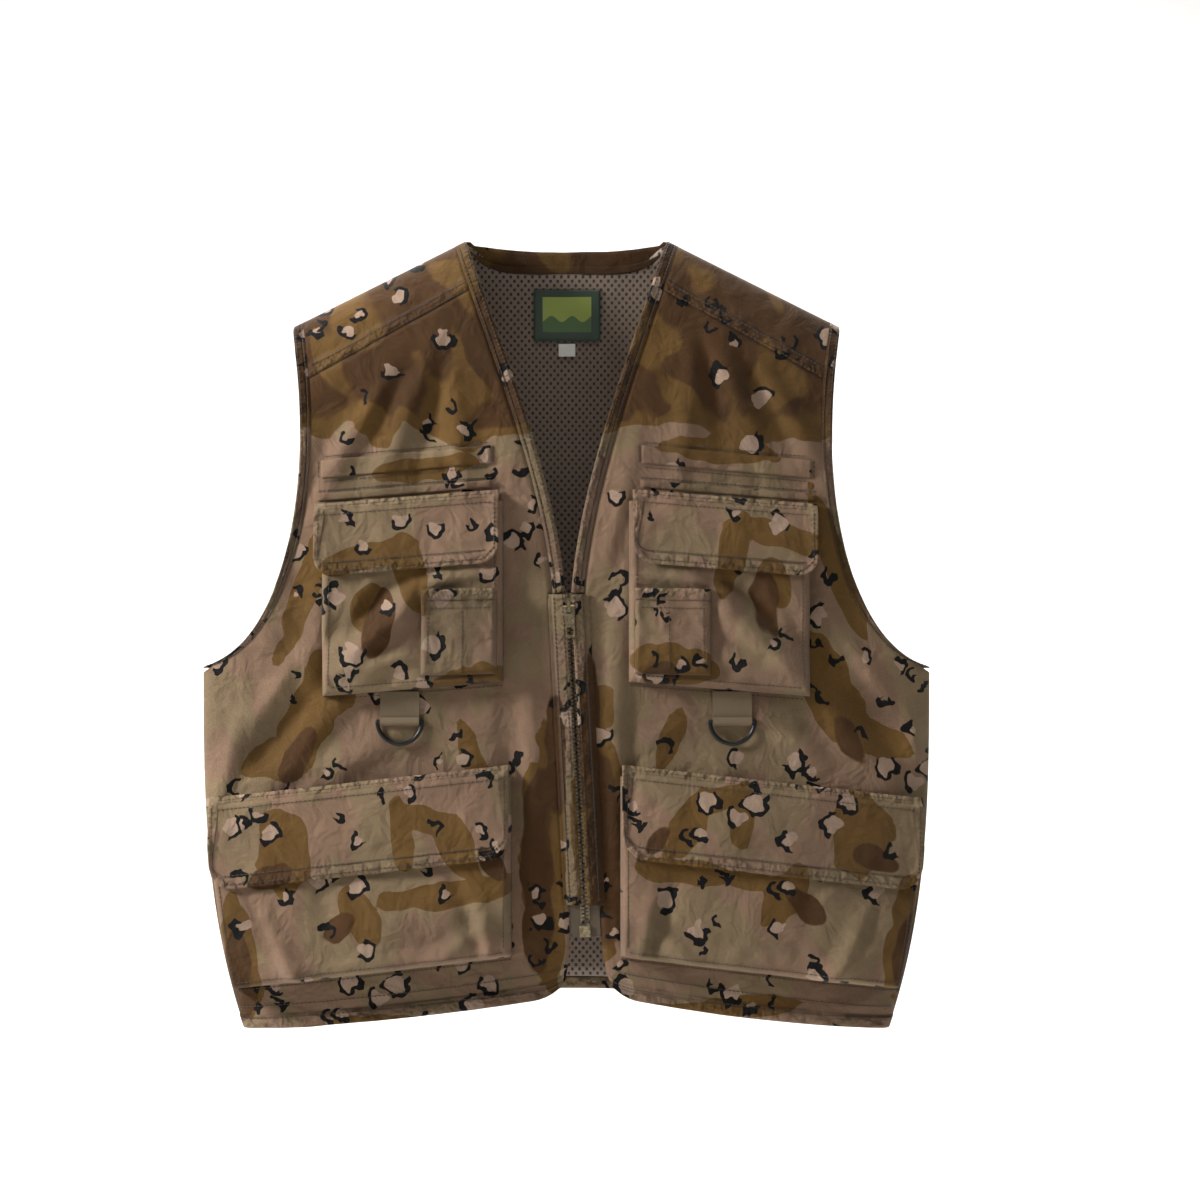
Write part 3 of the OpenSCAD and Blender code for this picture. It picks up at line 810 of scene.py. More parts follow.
@dataclass(frozen=True)
class WovenBand(Finish):
    """Flat woven polyester: close ribs one way, crossed by finer threads."""

    paint: str = "#5f4e39"
    rib_mm: float = 0.9
    relief_mm: float = 0.18
    rough: float = 0.7

    def dress(self, add: AddNode) -> dict[str, object]:
        """Ribs and threads from real spacings.

        Args:
            add: Adds a node to the material's tree.

        Returns:
            The shader's inputs.
        """
        at = add("TexCoord").outputs["Object"]
        parts = add("SeparateXYZ", {0: at})
        turn = 2 * math.pi / (self.rib_mm * MM)
        a = add(
            "Math", {0: add("Math", {0: parts.outputs[0], 1: turn}, operation="MULTIPLY")},
            operation="SINE"
        )
        b = add(
            "Math", {0: add("Math", {0: parts.outputs[2], 1: turn * 1.5}, operation="MULTIPLY")},
            operation="SINE"
        )
        cross = add(
            "Math", {0: add("Math", {0: a, 1: b}, operation="MULTIPLY"), 1: 0.5, 2: 0.5},
            operation="MULTIPLY_ADD"
        )
        fuzz = add("TexNoise", {"Vector": at, "Scale": 700.0, "Detail": 3.0})
        mixed = add(
            "Math",
            {
                0: fuzz.outputs["Fac"], 1: 0.5,
                2: add("Math", {0: cross, 1: 0.5}, operation="MULTIPLY")
            },
            operation="MULTIPLY_ADD"
        )
        dark = tuple((c * 0.62 for c in colour(self.paint)[:3])) + (1.0,)
        rough = add(
            "Math", {0: fuzz.outputs["Fac"], 1: 0.15, 2: self.rough - 0.07},
            operation="MULTIPLY_ADD"
        )
        return {
            "Base Color": add(
                "Mix", {0: mixed, 6: dark, 7: colour(self.paint)}, data_type="RGBA"
            ).outputs[2],
            "Roughness": rough,
            "Sheen Weight": 0.15,
            "Normal": add(
                "Bump", {"Height": mixed, "Distance": self.relief_mm * MM, "Strength": 1.0}
            ),
        }


@dataclass(frozen=True)
class CastBrass(Finish):
    """Antique brass plating on die-cast zinc, rubbed pale where it is handled."""

    pale: str = "#b9aa8c"
    dull: str = "#7d6c4c"

    def dress(self, add: AddNode) -> dict[str, object]:
        """Tarnish in patches and fine handling scratches.

        Args:
            add: Adds a node to the material's tree.

        Returns:
            The shader's inputs.
        """
        at = add("TexCoord").outputs["Object"]
        spots = add(
            "TexNoise", {"Vector": at, "Scale": 420.0, "Detail": 4.0, "Roughness": 0.65}
        ).outputs["Fac"]
        rubs = add("TexNoise", {"Vector": at, "Scale": 2600.0, "Detail": 2.0}).outputs["Fac"]
        share = add("MapRange", {"Value": spots, "From Min": 0.38, "From Max": 0.62})
        return {
            "Base Color": add(
                "Mix", {0: share, 6: colour(self.dull), 7: colour(self.pale)}, data_type="RGBA"
            ).outputs[2],
            "Metallic": 0.92,
            "Roughness": add("Math", {0: spots, 1: -0.2, 2: 0.44}, operation="MULTIPLY_ADD"),
            "Normal": add("Bump", {"Height": rubs, "Distance": 0.00004, "Strength": 1.0}),
        }


@dataclass(frozen=True)
class BlackEnamel(Finish):
    """Gloss black enamel baked on steel wire, worn thin in small specks."""

    paint: str = "#060606"
    worn: str = "#4a4743"

    def dress(self, add: AddNode) -> dict[str, object]:
        """A dark glossy coat with grey specks.

        Args:
            add: Adds a node to the material's tree.

        Returns:
            The shader's inputs.
        """
        at = add("TexCoord").outputs["Object"]
        specks = add(
            "TexNoise", {"Vector": at, "Scale": 650.0, "Detail": 4.0, "Roughness": 0.7}
        ).outputs["Fac"]
        bare = add("MapRange", {"Value": specks, "From Min": 0.72, "From Max": 0.76})
        return {
            "Base Color": add(
                "Mix", {0: bare, 6: colour(self.paint), 7: colour(self.worn)}, data_type="RGBA"
            ).outputs[2],
            "Roughness": add("Math", {0: specks, 1: 0.3, 2: 0.2}, operation="MULTIPLY_ADD"),
            "Specular IOR Level": 0.4,
            "Normal": add("Bump", {"Height": specks, "Distance": 0.00003, "Strength": 1.0}),
        }


@dataclass(frozen=True)
class LabelWeave(Finish):
    """Damask label: a dark green border round a yellow-green field with plain woven hills."""

    border: str = "#1d3521"
    field_colour: str = "#8c9a3e"
    hills: str = "#44602c"

    def dress(self, add: AddNode) -> dict[str, object]:
        """Border by distance from the middle, hills by a wave, fine cross threads.

        Args:
            add: Adds a node to the material's tree.

        Returns:
            The shader's inputs.
        """
        uv = add("UVMap", uv_map="cloth")
        parts = add("SeparateXYZ", {0: uv})
        (x, y) = (parts.outputs[0], parts.outputs[1])
        inside = add(
            "Math",
            {
                0: add(
                    "Math", {0: add("Math", {0: x}, operation="ABSOLUTE"), 1: 0.0175},
                    operation="LESS_THAN"
                ),
                1: add(
                    "Math", {0: add("Math", {0: y}, operation="ABSOLUTE"), 1: 0.0125},
                    operation="LESS_THAN"
                )
            },
            operation="MULTIPLY"
        )
        wave = add(
            "Math", {0: add("Math", {0: x, 1: 420.0}, operation="MULTIPLY")}, operation="SINE"
        )
        top = add("Math", {0: wave, 1: 0.0022, 2: -0.003}, operation="MULTIPLY_ADD")
        hill = add("Math", {0: y, 1: top}, operation="LESS_THAN")
        field_paint = add(
            "Mix", {0: hill, 6: colour(self.field_colour), 7: colour(self.hills)},
            data_type="RGBA"
        ).outputs[2]
        paint = add(
            "Mix", {0: inside, 6: colour(self.border), 7: field_paint}, data_type="RGBA"
        ).outputs[2]
        threads = add(
            "Math", {0: add("Math", {0: y, 1: 2 * math.pi / 0.0007}, operation="MULTIPLY")},
            operation="SINE"
        )
        shade = add("Math", {0: threads, 1: 0.12, 2: 0.92}, operation="MULTIPLY_ADD")
        tint = add("CombineColor", {0: shade, 1: shade, 2: shade})
        return {
            "Base Color": add(
                "Mix", {0: 1.0, 6: paint, 7: tint}, data_type="RGBA", blend_type="MULTIPLY"
            ).outputs[2],
            "Roughness": 0.6,
            "Sheen Weight": 0.2,
            "Normal": add("Bump", {"Height": threads, "Distance": 0.0001, "Strength": 1.0}),
        }


@dataclass(frozen=True)
class PalePaint(Finish):
    """Matt white studio board."""

    paint: str = "#f4f3f1"

    def dress(self, add: AddNode) -> dict[str, object]:
        """A nearly even matt white.

        Args:
            add: Adds a node to the material's tree.

        Returns:
            The shader's inputs.
        """
        at = add("TexCoord").outputs["Object"]
        noise = add("TexNoise", {"Vector": at, "Scale": 3.0}).outputs["Fac"]
        return {
            "Base Color": colour(self.paint),
            "Roughness": add("Math", {0: noise, 1: 0.1, 2: 0.85}, operation="MULTIPLY_ADD"),
        }


# Cotton twill, printed and washed: a matt face, ribs on the slant, rubbed pale along its seams.
BODY_TWILL = CamoTwill("camo_cotton_twill")
# The same twill in narrow strips, painted a shade darker all over as shade on the folded strips.
SHADED_TRIM_TWILL = CamoTwill("camo_cotton_twill_trim", light=0.86)
# The same twill seen in shadow, behind the welt.
INNER_TWILL = CamoTwill("camo_cotton_twill_inside", light=0.62)
# Knitted polyester mesh: rows of holes painted dark as the shade behind them, between thin tan yarns.
LINING = MeshLining("polyester_warp_knit_mesh")
# Spun polyester thread: short dashes, hardly shiny; its own brown painted darker to stand in for the shade
# in the seam lines.
THREAD_WITH_SEAM_SHADE = WovenBand(
    "polyester_sewing_thread", paint="#33240f", rib_mm=0.6, relief_mm=0.05, rough=0.6
)
# Woven cotton tape: matt, with ribs across.
WEBBING = WovenBand("cotton_tab_webbing", paint="#6d5a3f", rib_mm=1.1, relief_mm=0.3)
# Woven polyester tape: a smooth dull brown strip.
ZIP_TAPE = WovenBand("polyester_zip_tape", paint="#4f402c", rib_mm=0.8)
# Nylon hooks and loops: near black, rough, without a highlight.
HOOK_TAPE = WovenBand(
    "nylon_hook_and_loop_tape", paint="#1b1917", rib_mm=1.3, relief_mm=0.5, rough=0.85
)
# Woven satin: pale and a little glossy.
SATIN = WovenBand("satin_size_tab", paint="#dcd9d0", rib_mm=0.5, relief_mm=0.06, rough=0.45)
# Plated die-cast zinc: warm metal, blurred highlights, tarnish in patches.
ZIP_METAL = CastBrass("antique_brass_zip_casting")
# Enamel on steel wire: deep black with sharp small highlights.
RING_PAINT = BlackEnamel("black_enamelled_steel_wire")
# Painted board: even white with no highlight.
STUDIO = PalePaint("matt_white_studio_board")


# ---- Building tools ----


def only(obj: bpy.types.Object) -> None:
    """Deselects everything, then selects one object and makes it active."""
    bpy.ops.object.select_all(action="DESELECT")
    obj.select_set(True)
    bpy.context.view_layer.objects.active = obj


def smooth(obj: bpy.types.Object) -> None:
    """Shades a mesh smooth."""
    obj.data.polygons.foreach_set("use_smooth", np.ones(len(obj.data.polygons), dtype=bool))


def outwards(obj: bpy.types.Object) -> None:
    """Turns every face of a closed mesh outwards."""
    only(obj)
    bpy.ops.object.mode_set(mode="EDIT")
    bpy.ops.mesh.select_all(action="SELECT")
    bpy.ops.mesh.normals_make_consistent(inside=False)
    bpy.ops.object.mode_set(mode="OBJECT")


def measure(p: Array) -> tuple[float, float, float]:
    """Flat width, length and area of a grid of points.

    Args:
        p: X, Y, Z for each row and column.

    Returns:
        Mean row length, mean column length and area, in the points' unit.
    """
    across = np.linalg.norm(np.diff(p, axis=1), axis=-1)
    down = np.linalg.norm(np.diff(p, axis=0), axis=-1)
    a = p[:-1, 1:] - p[:-1, :-1]
    b = p[1:, :-1] - p[:-1, :-1]
    c = p[1:, 1:] - p[1:, :-1]
    d = p[1:, 1:] - p[:-1, 1:]
    area = (0.5 * (np.linalg.norm(np.cross(a, b), axis=-1) + np.linalg.norm(np.cross(c, d), axis=-1)).sum())
    return float(across.sum(1).max()), float(down.sum(0).max()), float(area)


@dataclass
class ClothPiece:
    """One piece of cloth: a grid placed by a function, then given its thickness.

    The place function takes column and row shares and returns millimetres on the outer face.
    Facing is the share of the columns that face outer_y, and hems names the stitched-down
    edges: l and r for the first and last column, t and b for the first and last row, and m for
    a fold down the middle column.
    """

    name: str
    place: Place
    finish: Finish
    cols: int = 40
    rows: int = 40
    thick: float = 1.1
    outer_y: int = -1
    pattern: tuple[float, float] = (0.0, 0.0)
    tones: Callable[[Array, Array], dict[str, Array]] | None = None
    facing: float = 1.0
    hems: str = ""

    def build(self) -> bpy.types.Object:
        """Models the piece at the frame's place.

        Returns:
            The finished object, at the origin with an identity transform.
        """
        bpy.ops.object.select_all(action="DESELECT")
        bpy.ops.mesh.primitive_grid_add(x_subdivisions=self.cols, y_subdivisions=self.rows, size=1)
        obj = bpy.context.active_object
        obj.name = self.name
        mesh = obj.data
        mesh.name = self.name
        co = np.empty(len(mesh.vertices) * 3, np.float32)
        mesh.vertices.foreach_get("co", co)
        co = co.reshape(-1, 3)
        u, v = co[:, 0] + 0.5, 0.5 - co[:, 1]
        points = self.place(u.astype(float), v.astype(float))
        mesh.vertices.foreach_set("co", (points * MM).astype(np.float32).ravel())
        mesh.update()
        order = np.lexsort((np.round(u, 6), np.round(v, 6)))
        grid = points[order].reshape(self.rows + 1, self.cols + 1, 3)
        wide, long, area = measure(grid)
        self._coordinates(mesh, points)
        marks = dict(self.tones(points[:, 0], points[:, 2])) if self.tones else {}
        marks["edge"] = np.empty(len(points))
        marks["edge"][order] = self._edge_distance(grid).ravel()
        for mark, values in marks.items():
            layer = mesh.attributes.new(mark, "FLOAT", "POINT")
            layer.data.foreach_set("value", values.astype(np.float32))
        last = max(1, round(self.facing * self.cols))
        along, down = np.diff(grid, axis=1)[:-1, :last], np.diff(grid, axis=0)[:, :last]
        if np.cross(down, along)[..., 1].sum() * self.outer_y < 0:
            mesh.flip_normals()
        only(obj)
        solid = obj.modifiers.new("thickness", "SOLIDIFY")
        solid.thickness = self.thick * MM
        solid.offset = -1.0
        solid.use_even_offset = False
        solid.use_rim = True
        bpy.ops.object.modifier_apply(modifier=solid.name)
        outwards(obj)
        smooth(obj)
        mesh.materials.append(self.finish.make())
        w, l = sorted((max(wide, MIN_SHEET), max(long, MIN_SHEET)))
        share = max(MIN_SHARE, min(1.0, area / (w * l)))
        LOG.info("%s: %d faces, %.0f by %.0f mm", self.name, len(mesh.polygons), wide, long)
        return obj

    def _edge_distance(self, grid: Array) -> Array:
        """Distance in millimetres of each vertex from the nearest stitched-down edge.

        Args:
            grid: Points for each row and column.

        Returns:
            A distance for each row and column.
        """
        far = np.full(grid.shape[:2], 99.0)
        for axis, first, last in ((1, "l", "r"), (0, "t", "b")):
            steps = np.linalg.norm(np.diff(grid, axis=axis), axis=-1)
            start = np.zeros_like(np.take(steps, [0], axis=axis))
            run = np.concatenate([start, np.cumsum(steps, axis=axis)], axis=axis)
            if first in self.hems:
                far = np.minimum(far, run)
            if last in self.hems:
                far = np.minimum(far, np.take(run, [-1], axis=axis) - run)
            if axis == 1 and "m" in self.hems:
                far = np.minimum(far, np.abs(run - run[:, -1:] / 2) + 0.2)
        return far

    def _coordinates(self, mesh: bpy.types.Mesh, points: Array) -> None:
        """Lays the cloth's own coordinates flat, in metres, with the piece's own place on the print.

        Args:
            mesh: The mesh.
            points: X, Y, Z of each vertex.
        """
        layer = mesh.uv_layers.new(name="cloth")
        loops = np.empty(len(mesh.loops), np.int32)
        mesh.loops.foreach_get("vertex_index", loops)
        flat = np.stack([points[:, 0] + self.pattern[0], points[:, 2] + self.pattern[1]], -1) * MM
        layer.data.foreach_set("uv", flat[loops].astype(np.float32).ravel())


@dataclass
class Stitches:
    """A row of sewing: one short thread modelled once and copied along a path."""

    name: str
    gap: float = 3.1
    long: float = 2.3
    thick: float = 0.4

    def build(self, paths: Sequence[Array], normals: Sequence[Array]) -> bpy.types.Object:
        """Copies the thread along every path.

        Args:
            paths: Rows of X, Y, Z in millimetres.
            normals: Outward direction at each point of each path.

        Returns:
            All the stitches as one object.
        """
        bpy.ops.object.select_all(action="DESELECT")
        bpy.ops.mesh.primitive_cylinder_add(
            vertices=6, radius=self.thick, depth=self.long, end_fill_type="NGON"
        )
        master = bpy.context.active_object
        verts = np.array([tuple(v.co) for v in master.data.vertices])
        verts[:, 0:2] *= np.where(np.abs(verts[:, 2:3]) > 0.1, THIN_END, 1.0)
        faces = [list(p.vertices) for p in master.data.polygons]
        mid = self._with_middle(verts, faces)
        bpy.data.objects.remove(master, do_unlink=True)
        spots, along, outs = [], [], []
        for path, normal in zip(paths, normals):
            steps = np.linalg.norm(np.diff(path, axis=0), axis=1)
            total = np.concatenate([[0], np.cumsum(steps)])
            at = np.arange(self.gap / 2, total[-1] - self.long / 2, self.gap)
            if len(at) == 0:
                continue
            here = np.stack([np.interp(at, total, path[:, k]) for k in range(3)], -1)
            next_ = np.stack([np.interp(at + 0.4, total, path[:, k]) for k in range(3)], -1)
            last = np.stack([np.interp(at - 0.4, total, path[:, k]) for k in range(3)], -1)
            out = np.stack([np.interp(at, total, normal[:, k]) for k in range(3)], -1)
            spots.append(here)
            along.append(next_ - last)
            outs.append(out)
        spot, t, n = (np.concatenate(a) for a in (spots, along, outs))
        t /= np.linalg.norm(t, axis=1, keepdims=True)
        n -= t * (n * t).sum(1, keepdims=True)
        n /= np.linalg.norm(n, axis=1, keepdims=True)
        side = np.cross(n, t)
        v, f = mid
        points = (spot[:, None, :] + v[None, :, 0:1] * side[:, None, :]
                  + v[None, :, 1:2] * 0.75 * n[:, None, :] + v[None, :, 2:3] * t[:, None, :])
        points = points.reshape(-1, 3) * MM
        all_faces = [[i + k * len(v) for i in face] for k in range(len(spot)) for face in f]
        mesh = bpy.data.meshes.new(self.name)
        mesh.from_pydata(points.tolist(), [], all_faces)
        mesh.update()
        obj = bpy.data.objects.new(self.name, mesh)
        bpy.context.scene.collection.objects.link(obj)
        outwards(obj)
        smooth(obj)
        # the thread's colour is partly its own and partly painted seam shade
        mesh.materials.append(THREAD_WITH_SEAM_SHADE.make())
        LOG.info("%s: %d stitches", self.name, len(spot))
        return obj

    @staticmethod
    def _with_middle(verts: Array, faces: list[list[int]]) -> tuple[Array, list[list[int]]]:
        """Adds a fat middle ring to the thin-ended thread.

        Args:
            verts: The thread's vertices.
            faces: The thread's faces.

        Returns:
            The new vertices and faces.
        """
        low = [i for i in range(len(verts)) if verts[i, 2] < 0]
        high = [i for i in range(len(verts)) if verts[i, 2] > 0]

        def angle(i: int) -> float:
            """The direction of a vertex round the thread."""
            return math.atan2(verts[i, 1], verts[i, 0])

        low.sort(key=angle)
        high.sort(key=angle)
        ring = []
        out = list(verts)
        for a, b in zip(low, high):
            centre = (verts[a] + verts[b]) / 2
            ring.append(len(out))
            out.append(np.array([centre[0] / THIN_END, centre[1] / THIN_END, 0]))
        new = [low[::-1], high]
        n = len(low)
        for i in range(n):
            j = (i + 1) % n
            new.append([low[i], low[j], ring[j], ring[i]])
            new.append([ring[i], ring[j], high[j], high[i]])
        return np.array(out), new


# ---- Where the print's big shapes lie ----


@dataclass(frozen=True)
class Print:
    """The large shapes of the print, as ellipses of X, Z, turn and two half sizes in millimetres."""

    brown: Sequence[tuple[float, float, float, float, float]]
    ochre: Sequence[tuple[float, float, float, float, float]] = ()
    upper: float = -138
    seed: float = 1.0

    @staticmethod
    def _within(shapes: Sequence[tuple[float, ...]], x: Array, z: Array) -> Array:
        """How far inside the nearest shape each place is, from -1.5 to 1.

        Args:
            shapes: The shapes.
            x: X of each place, in millimetres.
            z: Z of each place, in millimetres.

        Returns:
            A height for each place.
        """
        best = np.full(x.shape, -1.5)
        for cx, cz, turn, long, wide in shapes:
            c, s = math.cos(math.radians(turn)), math.sin(math.radians(turn))
            along, across = (x - cx) * c + (z - cz) * s, -(x - cx) * s + (z - cz) * c
            best = np.maximum(best, 1 - (along / long) ** 2 - (across / wide) ** 2)
        return best

    def tones(self, x: Array, z: Array) -> dict[str, Array]:
        """The print's fields at each place; over 0 is inside a colour's shape.

        Args:
            x: X of each place, in millimetres.
            z: Z of each place, in millimetres.

        Returns:
            A field for each colour.
        """
        a = np.abs(x) + np.where(x < 0, 9, 0)
        lower = z + np.where(x < 0, 14, 0)
        top = np.clip((z - self.upper) / 26 + 0.5 * ripple(x, z, 88, 2.2 + self.seed), -1.5, 1.5)
        pink = 0.75 * ripple(x, z, 118, 5.1 + self.seed) + 0.25 * ripple(x, z, 47, 8.8)
        mottle = self._within(self.brown, a, lower) + 0.5 * ripple(x, z, 40, 3.4 * self.seed)
        deep = ripple(x, z, 74, 6.6) + 0.35
        brown = np.maximum(mottle, np.minimum(top * 1.6 - 0.5, deep - 0.1))
        ochre = np.maximum(
            self._within(self.ochre, a, lower) + 0.4 * ripple(x, z, 36, self.seed), top
        )
        return {"pink": pink, "ochre": ochre, "brown": brown}


SHELL_PRINT = Print(
    brown=((28, -440, 90, 72, 12), (16, -350, 88, 50, 8), (238, -500, 88, 40, 12),
           (198, -352, -62, 22, 9), (212, -206, -76, 26, 8)),
    ochre=((184, -316, -64, 54, 19), (22, -420, 90, 100, 17), (240, -480, 85, 60, 20),
           (214, -352, -20, 30, 12), (190, -230, -70, 60, 9), (110, -150, -6, 40, 9),
           (120, -540, 2, 50, 7), (74, -352, 70, 26, 8)))
CHEST_PRINT = Print(
    brown=((139, -258, -78, 24, 10), (66, -307, 4, 14, 9)),
    ochre=((117, -222, 76, 28, 11), (148, -211, -14, 36, 9), (76, -300, -6, 30, 14),
           (146, -246, -70, 20, 12)), upper=0, seed=1.6)
LOWER_PRINT = Print(
    brown=((216, -436, -20, 16, 9), (62, -424, 50, 16, 7), (168, -470, -40, 16, 8),
           (236, -506, 84, 34, 9)),
    ochre=((84, -414, 62, 28, 12), (105, -395, 14, 24, 9), (123, -406, 82, 26, 8),
           (206, -419, 78, 32, 21), (92, -446, -8, 52, 9), (152, -462, 58, 26, 13),
           (236, -498, 84, 46, 14)), upper=0, seed=2.3)
BACK_PRINT = Print(
    brown=((38, -212, 24, 40, 15), (186, -318, -56, 36, 13), (24, -404, 12, 36, 12),
           (150, -492, 34, 36, 12), (214, -444, 80, 30, 9), (120, -262, 60, 26, 10)),
    ochre=((96, -250, 34, 74, 24), (176, -396, -44, 66, 22), (52, -470, -6, 70, 17),
           (30, -320, 70, 44, 16), (214, -250, 78, 50, 16), (128, -520, 8, 60, 14)), upper=-120,
    seed=4.0)


def dense_ends(t: Array, w: float, r: float, share: float) -> Array:
    """Goes from 0 to w with many steps within r of each end.

    Args:
        t: From 0 to 1.
        w: Whole length.
        r: Length of each dense end.
        share: Share of t spent on each dense end.

    Returns:
        Positions along the length.
    """
    mid = mix(r, w - r, unit((t - share) / (1 - 2 * share)))
    return np.where(t < share, r * t / share, np.where(t > 1 - share, w - r * (1 - t) / share, mid))


def swell(q: Array, r: float) -> Array:
    """Height of a rounded edge, 0 at the edge and 1 from r inwards."""
    return np.sqrt(np.maximum(0, 1 - (1 - unit(q / r)) ** 2.2))


FORWARD = np.array([0.0, -1.0, 0.0])


def line(a: float, b: float, n: int = 60) -> Array:
    """Even steps from a to b."""
    return np.linspace(a, b, n)


# ---- Sub-assemblies ----


@dataclass
class Part:
    """A sub-assembly on one side of the vest."""

    body: HungBody
    side: Side

    @property
    def sign(self) -> int:
        """1 on the wearer's left, -1 on the right."""
        return self.side.value

    def named(self, what: str) -> str:
        """A node's name on this side."""
        return f"{what}_{self.side.word}"

    def settle(self, obj: bpy.types.Object, slot: str, *nodes: str) -> bpy.types.Object:
        """Stands a piece in for its nodes and fixes it to the vest.

        Args:
            obj: The object.
            slot: Not used.
            nodes: The nodes it stands in for.

        Returns:
            The same object.
        """
        if nodes:
            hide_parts(*nodes)
        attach(obj, ROOT)
        return obj

    def stitch(self, name: str, *paths: Array, out: Array | None = None) -> bpy.types.Object:
        """Sews rows of stitches that face the front, or out.

        Args:
            name: Its name.
            paths: Rows of points.
            out: The direction the rows face.

        Returns:
            The stitches.
        """
        away = FORWARD if out is None else out
        obj = Stitches(name).build(paths, [np.tile(away, (len(p), 1)) for p in paths])
        return obj


@dataclass
class FrontHalf(Part):
    """Front panel, yoke, hem, neck binding, placket and lining of one side."""

    def at(self, s: Array, t: Array, d: Array | float) -> Array:
        """A place on this front, d in front of its outer face."""
        p = self.body.front_xz(s, t, self.sign)
        return self.body.skin(self.sign * p[..., 0], p[..., 1], d)

    def arm_s(self, t: Array) -> Array:
        """Where the armhole binding starts."""
        return np.where(t <= 0.5, 1 - self.body.bind_w / self.body.front_span(t, self.sign), 1.0)

    def part(self, top: float, low: float, d: float, over: float = 0.0) -> Place:
        """The place function of a layer between two rows.

        Args:
            top: First row, as a share of the length.
            low: Last row.
            d: Height of its outer face.
            over: Overlap at the inner edge.

        Returns:
            The place function.
        """
        def place(u: Array, v: Array) -> Array:
            """A place on the piece, for its column and row shares."""
            t = mix(top, low, v)
            s = mix(self.body.neck_s(t, self.sign) - over, self.arm_s(t), 1 - (1 - u) ** 1.4)
            return self.at(s, t, d)
        return place

    def build(self) -> None:
        """Models every piece of this front."""
        b = self.body
        pattern = (0.0, 0.0) if self.sign > 0 else (377.0, 151.0)
        for what, top, low, rows, hems, d in (
            ("front_panel", b.t_yoke, b.t_hem + 0.008, 110, "", 0.0),
            ("front_yoke", 0.0, b.t_yoke, 14, "b", 0.35), ("hem_front", b.t_hem, 1.0, 5, "b", 0.5)
        ):
            piece = ClothPiece(
                self.named(what) + "_cloth", self.part(top, low, d), BODY_TWILL, cols=64,
                rows=rows, tones=SHELL_PRINT.tones, hems=hems, pattern=pattern
            )
            self.settle(piece.build(), "camo_twill", self.named(what))
        inner = -LINING_DEEP
        lining = ClothPiece(
            self.named("mesh_lining") + "_cloth", self.part(0.0, b.t_hem, inner), LINING, cols=40,
            rows=60, thick=0.8
        )
        self.settle(lining.build(), "mesh", self.named("mesh_lining"))
        self.neck()
        self.placket()
        self.sewing()

    def neck(self) -> None:
        """The bound V-neck edge: one strip folded over the edge."""
        b = self.body

        def place(u: Array, v: Array) -> Array:
            """A place on the piece, for its column and row shares."""
            t = 0.5 * v
            w, d = wrap(u, b.bind_w, 0.5, BINDING_DEEP)
            return self.at(w / b.front_span(t, self.sign), t, d)
        piece = ClothPiece(
            self.named("neck_binding") + "_cloth", place, SHADED_TRIM_TWILL, cols=22, rows=110,
            thick=0.9, facing=0.3, hems="m", tones=SHELL_PRINT.tones, pattern=(90.0, 40.0)
        )
        self.settle(piece.build(), "camo_twill", self.named("neck_binding"))

    def placket(self) -> None:
        """The strip that stands in front of the zip."""
        b = self.body
        lift = 4.2

        def place(u: Array, v: Array) -> Array:
            """A place on the piece, for its column and row shares."""
            t = mix(0.503, 1 - b.corner_rows, v)
            across = b.slit + (b.bind_w + 3.5) * u
            p = b.front_edge(t, self.sign)
            d = (
                mix(1.6, lift, ease((b.slit + b.bind_w + 1.2 - across) / 2.6))
                + 0.22 * np.sin(v * 130) * u
            )
            return self.body.skin(self.sign * (p[:, 0] - b.slit + across), p[:, 1], d)
        piece = ClothPiece(self.named("placket") + "_cloth", place, SHADED_TRIM_TWILL, cols=14, rows=90,
                           tones=SHELL_PRINT.tones, hems="l", pattern=(31.0, 77.0))
        self.settle(piece.build(), "camo_twill", self.named("placket"))

    def sewing(self) -> None:
        """Double rows along the neck, yoke and hem, and one down the placket."""
        b = self.body
        rows = []
        for w in (2.4, 7.0):
            t = line(0.004, 0.498, 150)
            rows.append(self.at(w / b.front_span(t, self.sign), t, 0.75))
        for drop in (0.0022, 0.0125):
            t = np.full(60, b.t_yoke - drop)
            rows.append(self.at(line(0.07, 0.93), t, 0.6))
        for t_row in (b.t_hem + 0.004, b.t_hem - 0.012):
            t = np.full(120, t_row)
            rows.append(self.at(line(0.06, 0.985, 120), t, 0.75 if t_row > b.t_hem else 0.25))
        t = line(0.506, 1 - b.corner_rows, 140)
        edge = b.front_edge(t, self.sign)
        for across, d in ((2.2, 4.5), (8.4, 4.3)):
            rows.append(b.skin(self.sign * (edge[:, 0] + across), edge[:, 1], np.full(140, d)))
        obj = self.stitch(self.named("front_stitches"), *rows)
        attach(obj, ROOT)


def wrap(u: Array, wide: float, proud: float, deep: float) -> tuple[Array, Array]:
    """A strip's section folded over an edge.

    Args:
        u: From the outer face's seam to the inner face's seam.
        wide: Width of the strip on each face.
        proud: Height of its outer face.
        deep: Depth of its inner face.

    Returns:
        Distance in from the edge, and height.
    """
    r = (proud + deep) / 2
    mid = (proud - deep) / 2
    turn = unit((u - 0.36) / 0.28) * math.pi
    w = np.where(
        u < 0.36, mix(wide, r * 0.6, u / 0.36),
        np.where(u > 0.64, mix(r * 0.6, wide, (u - 0.64) / 0.36), r * 0.6 * (1 - np.sin(turn)))
    )
    d = mid + r * np.cos(turn)
    return w, d


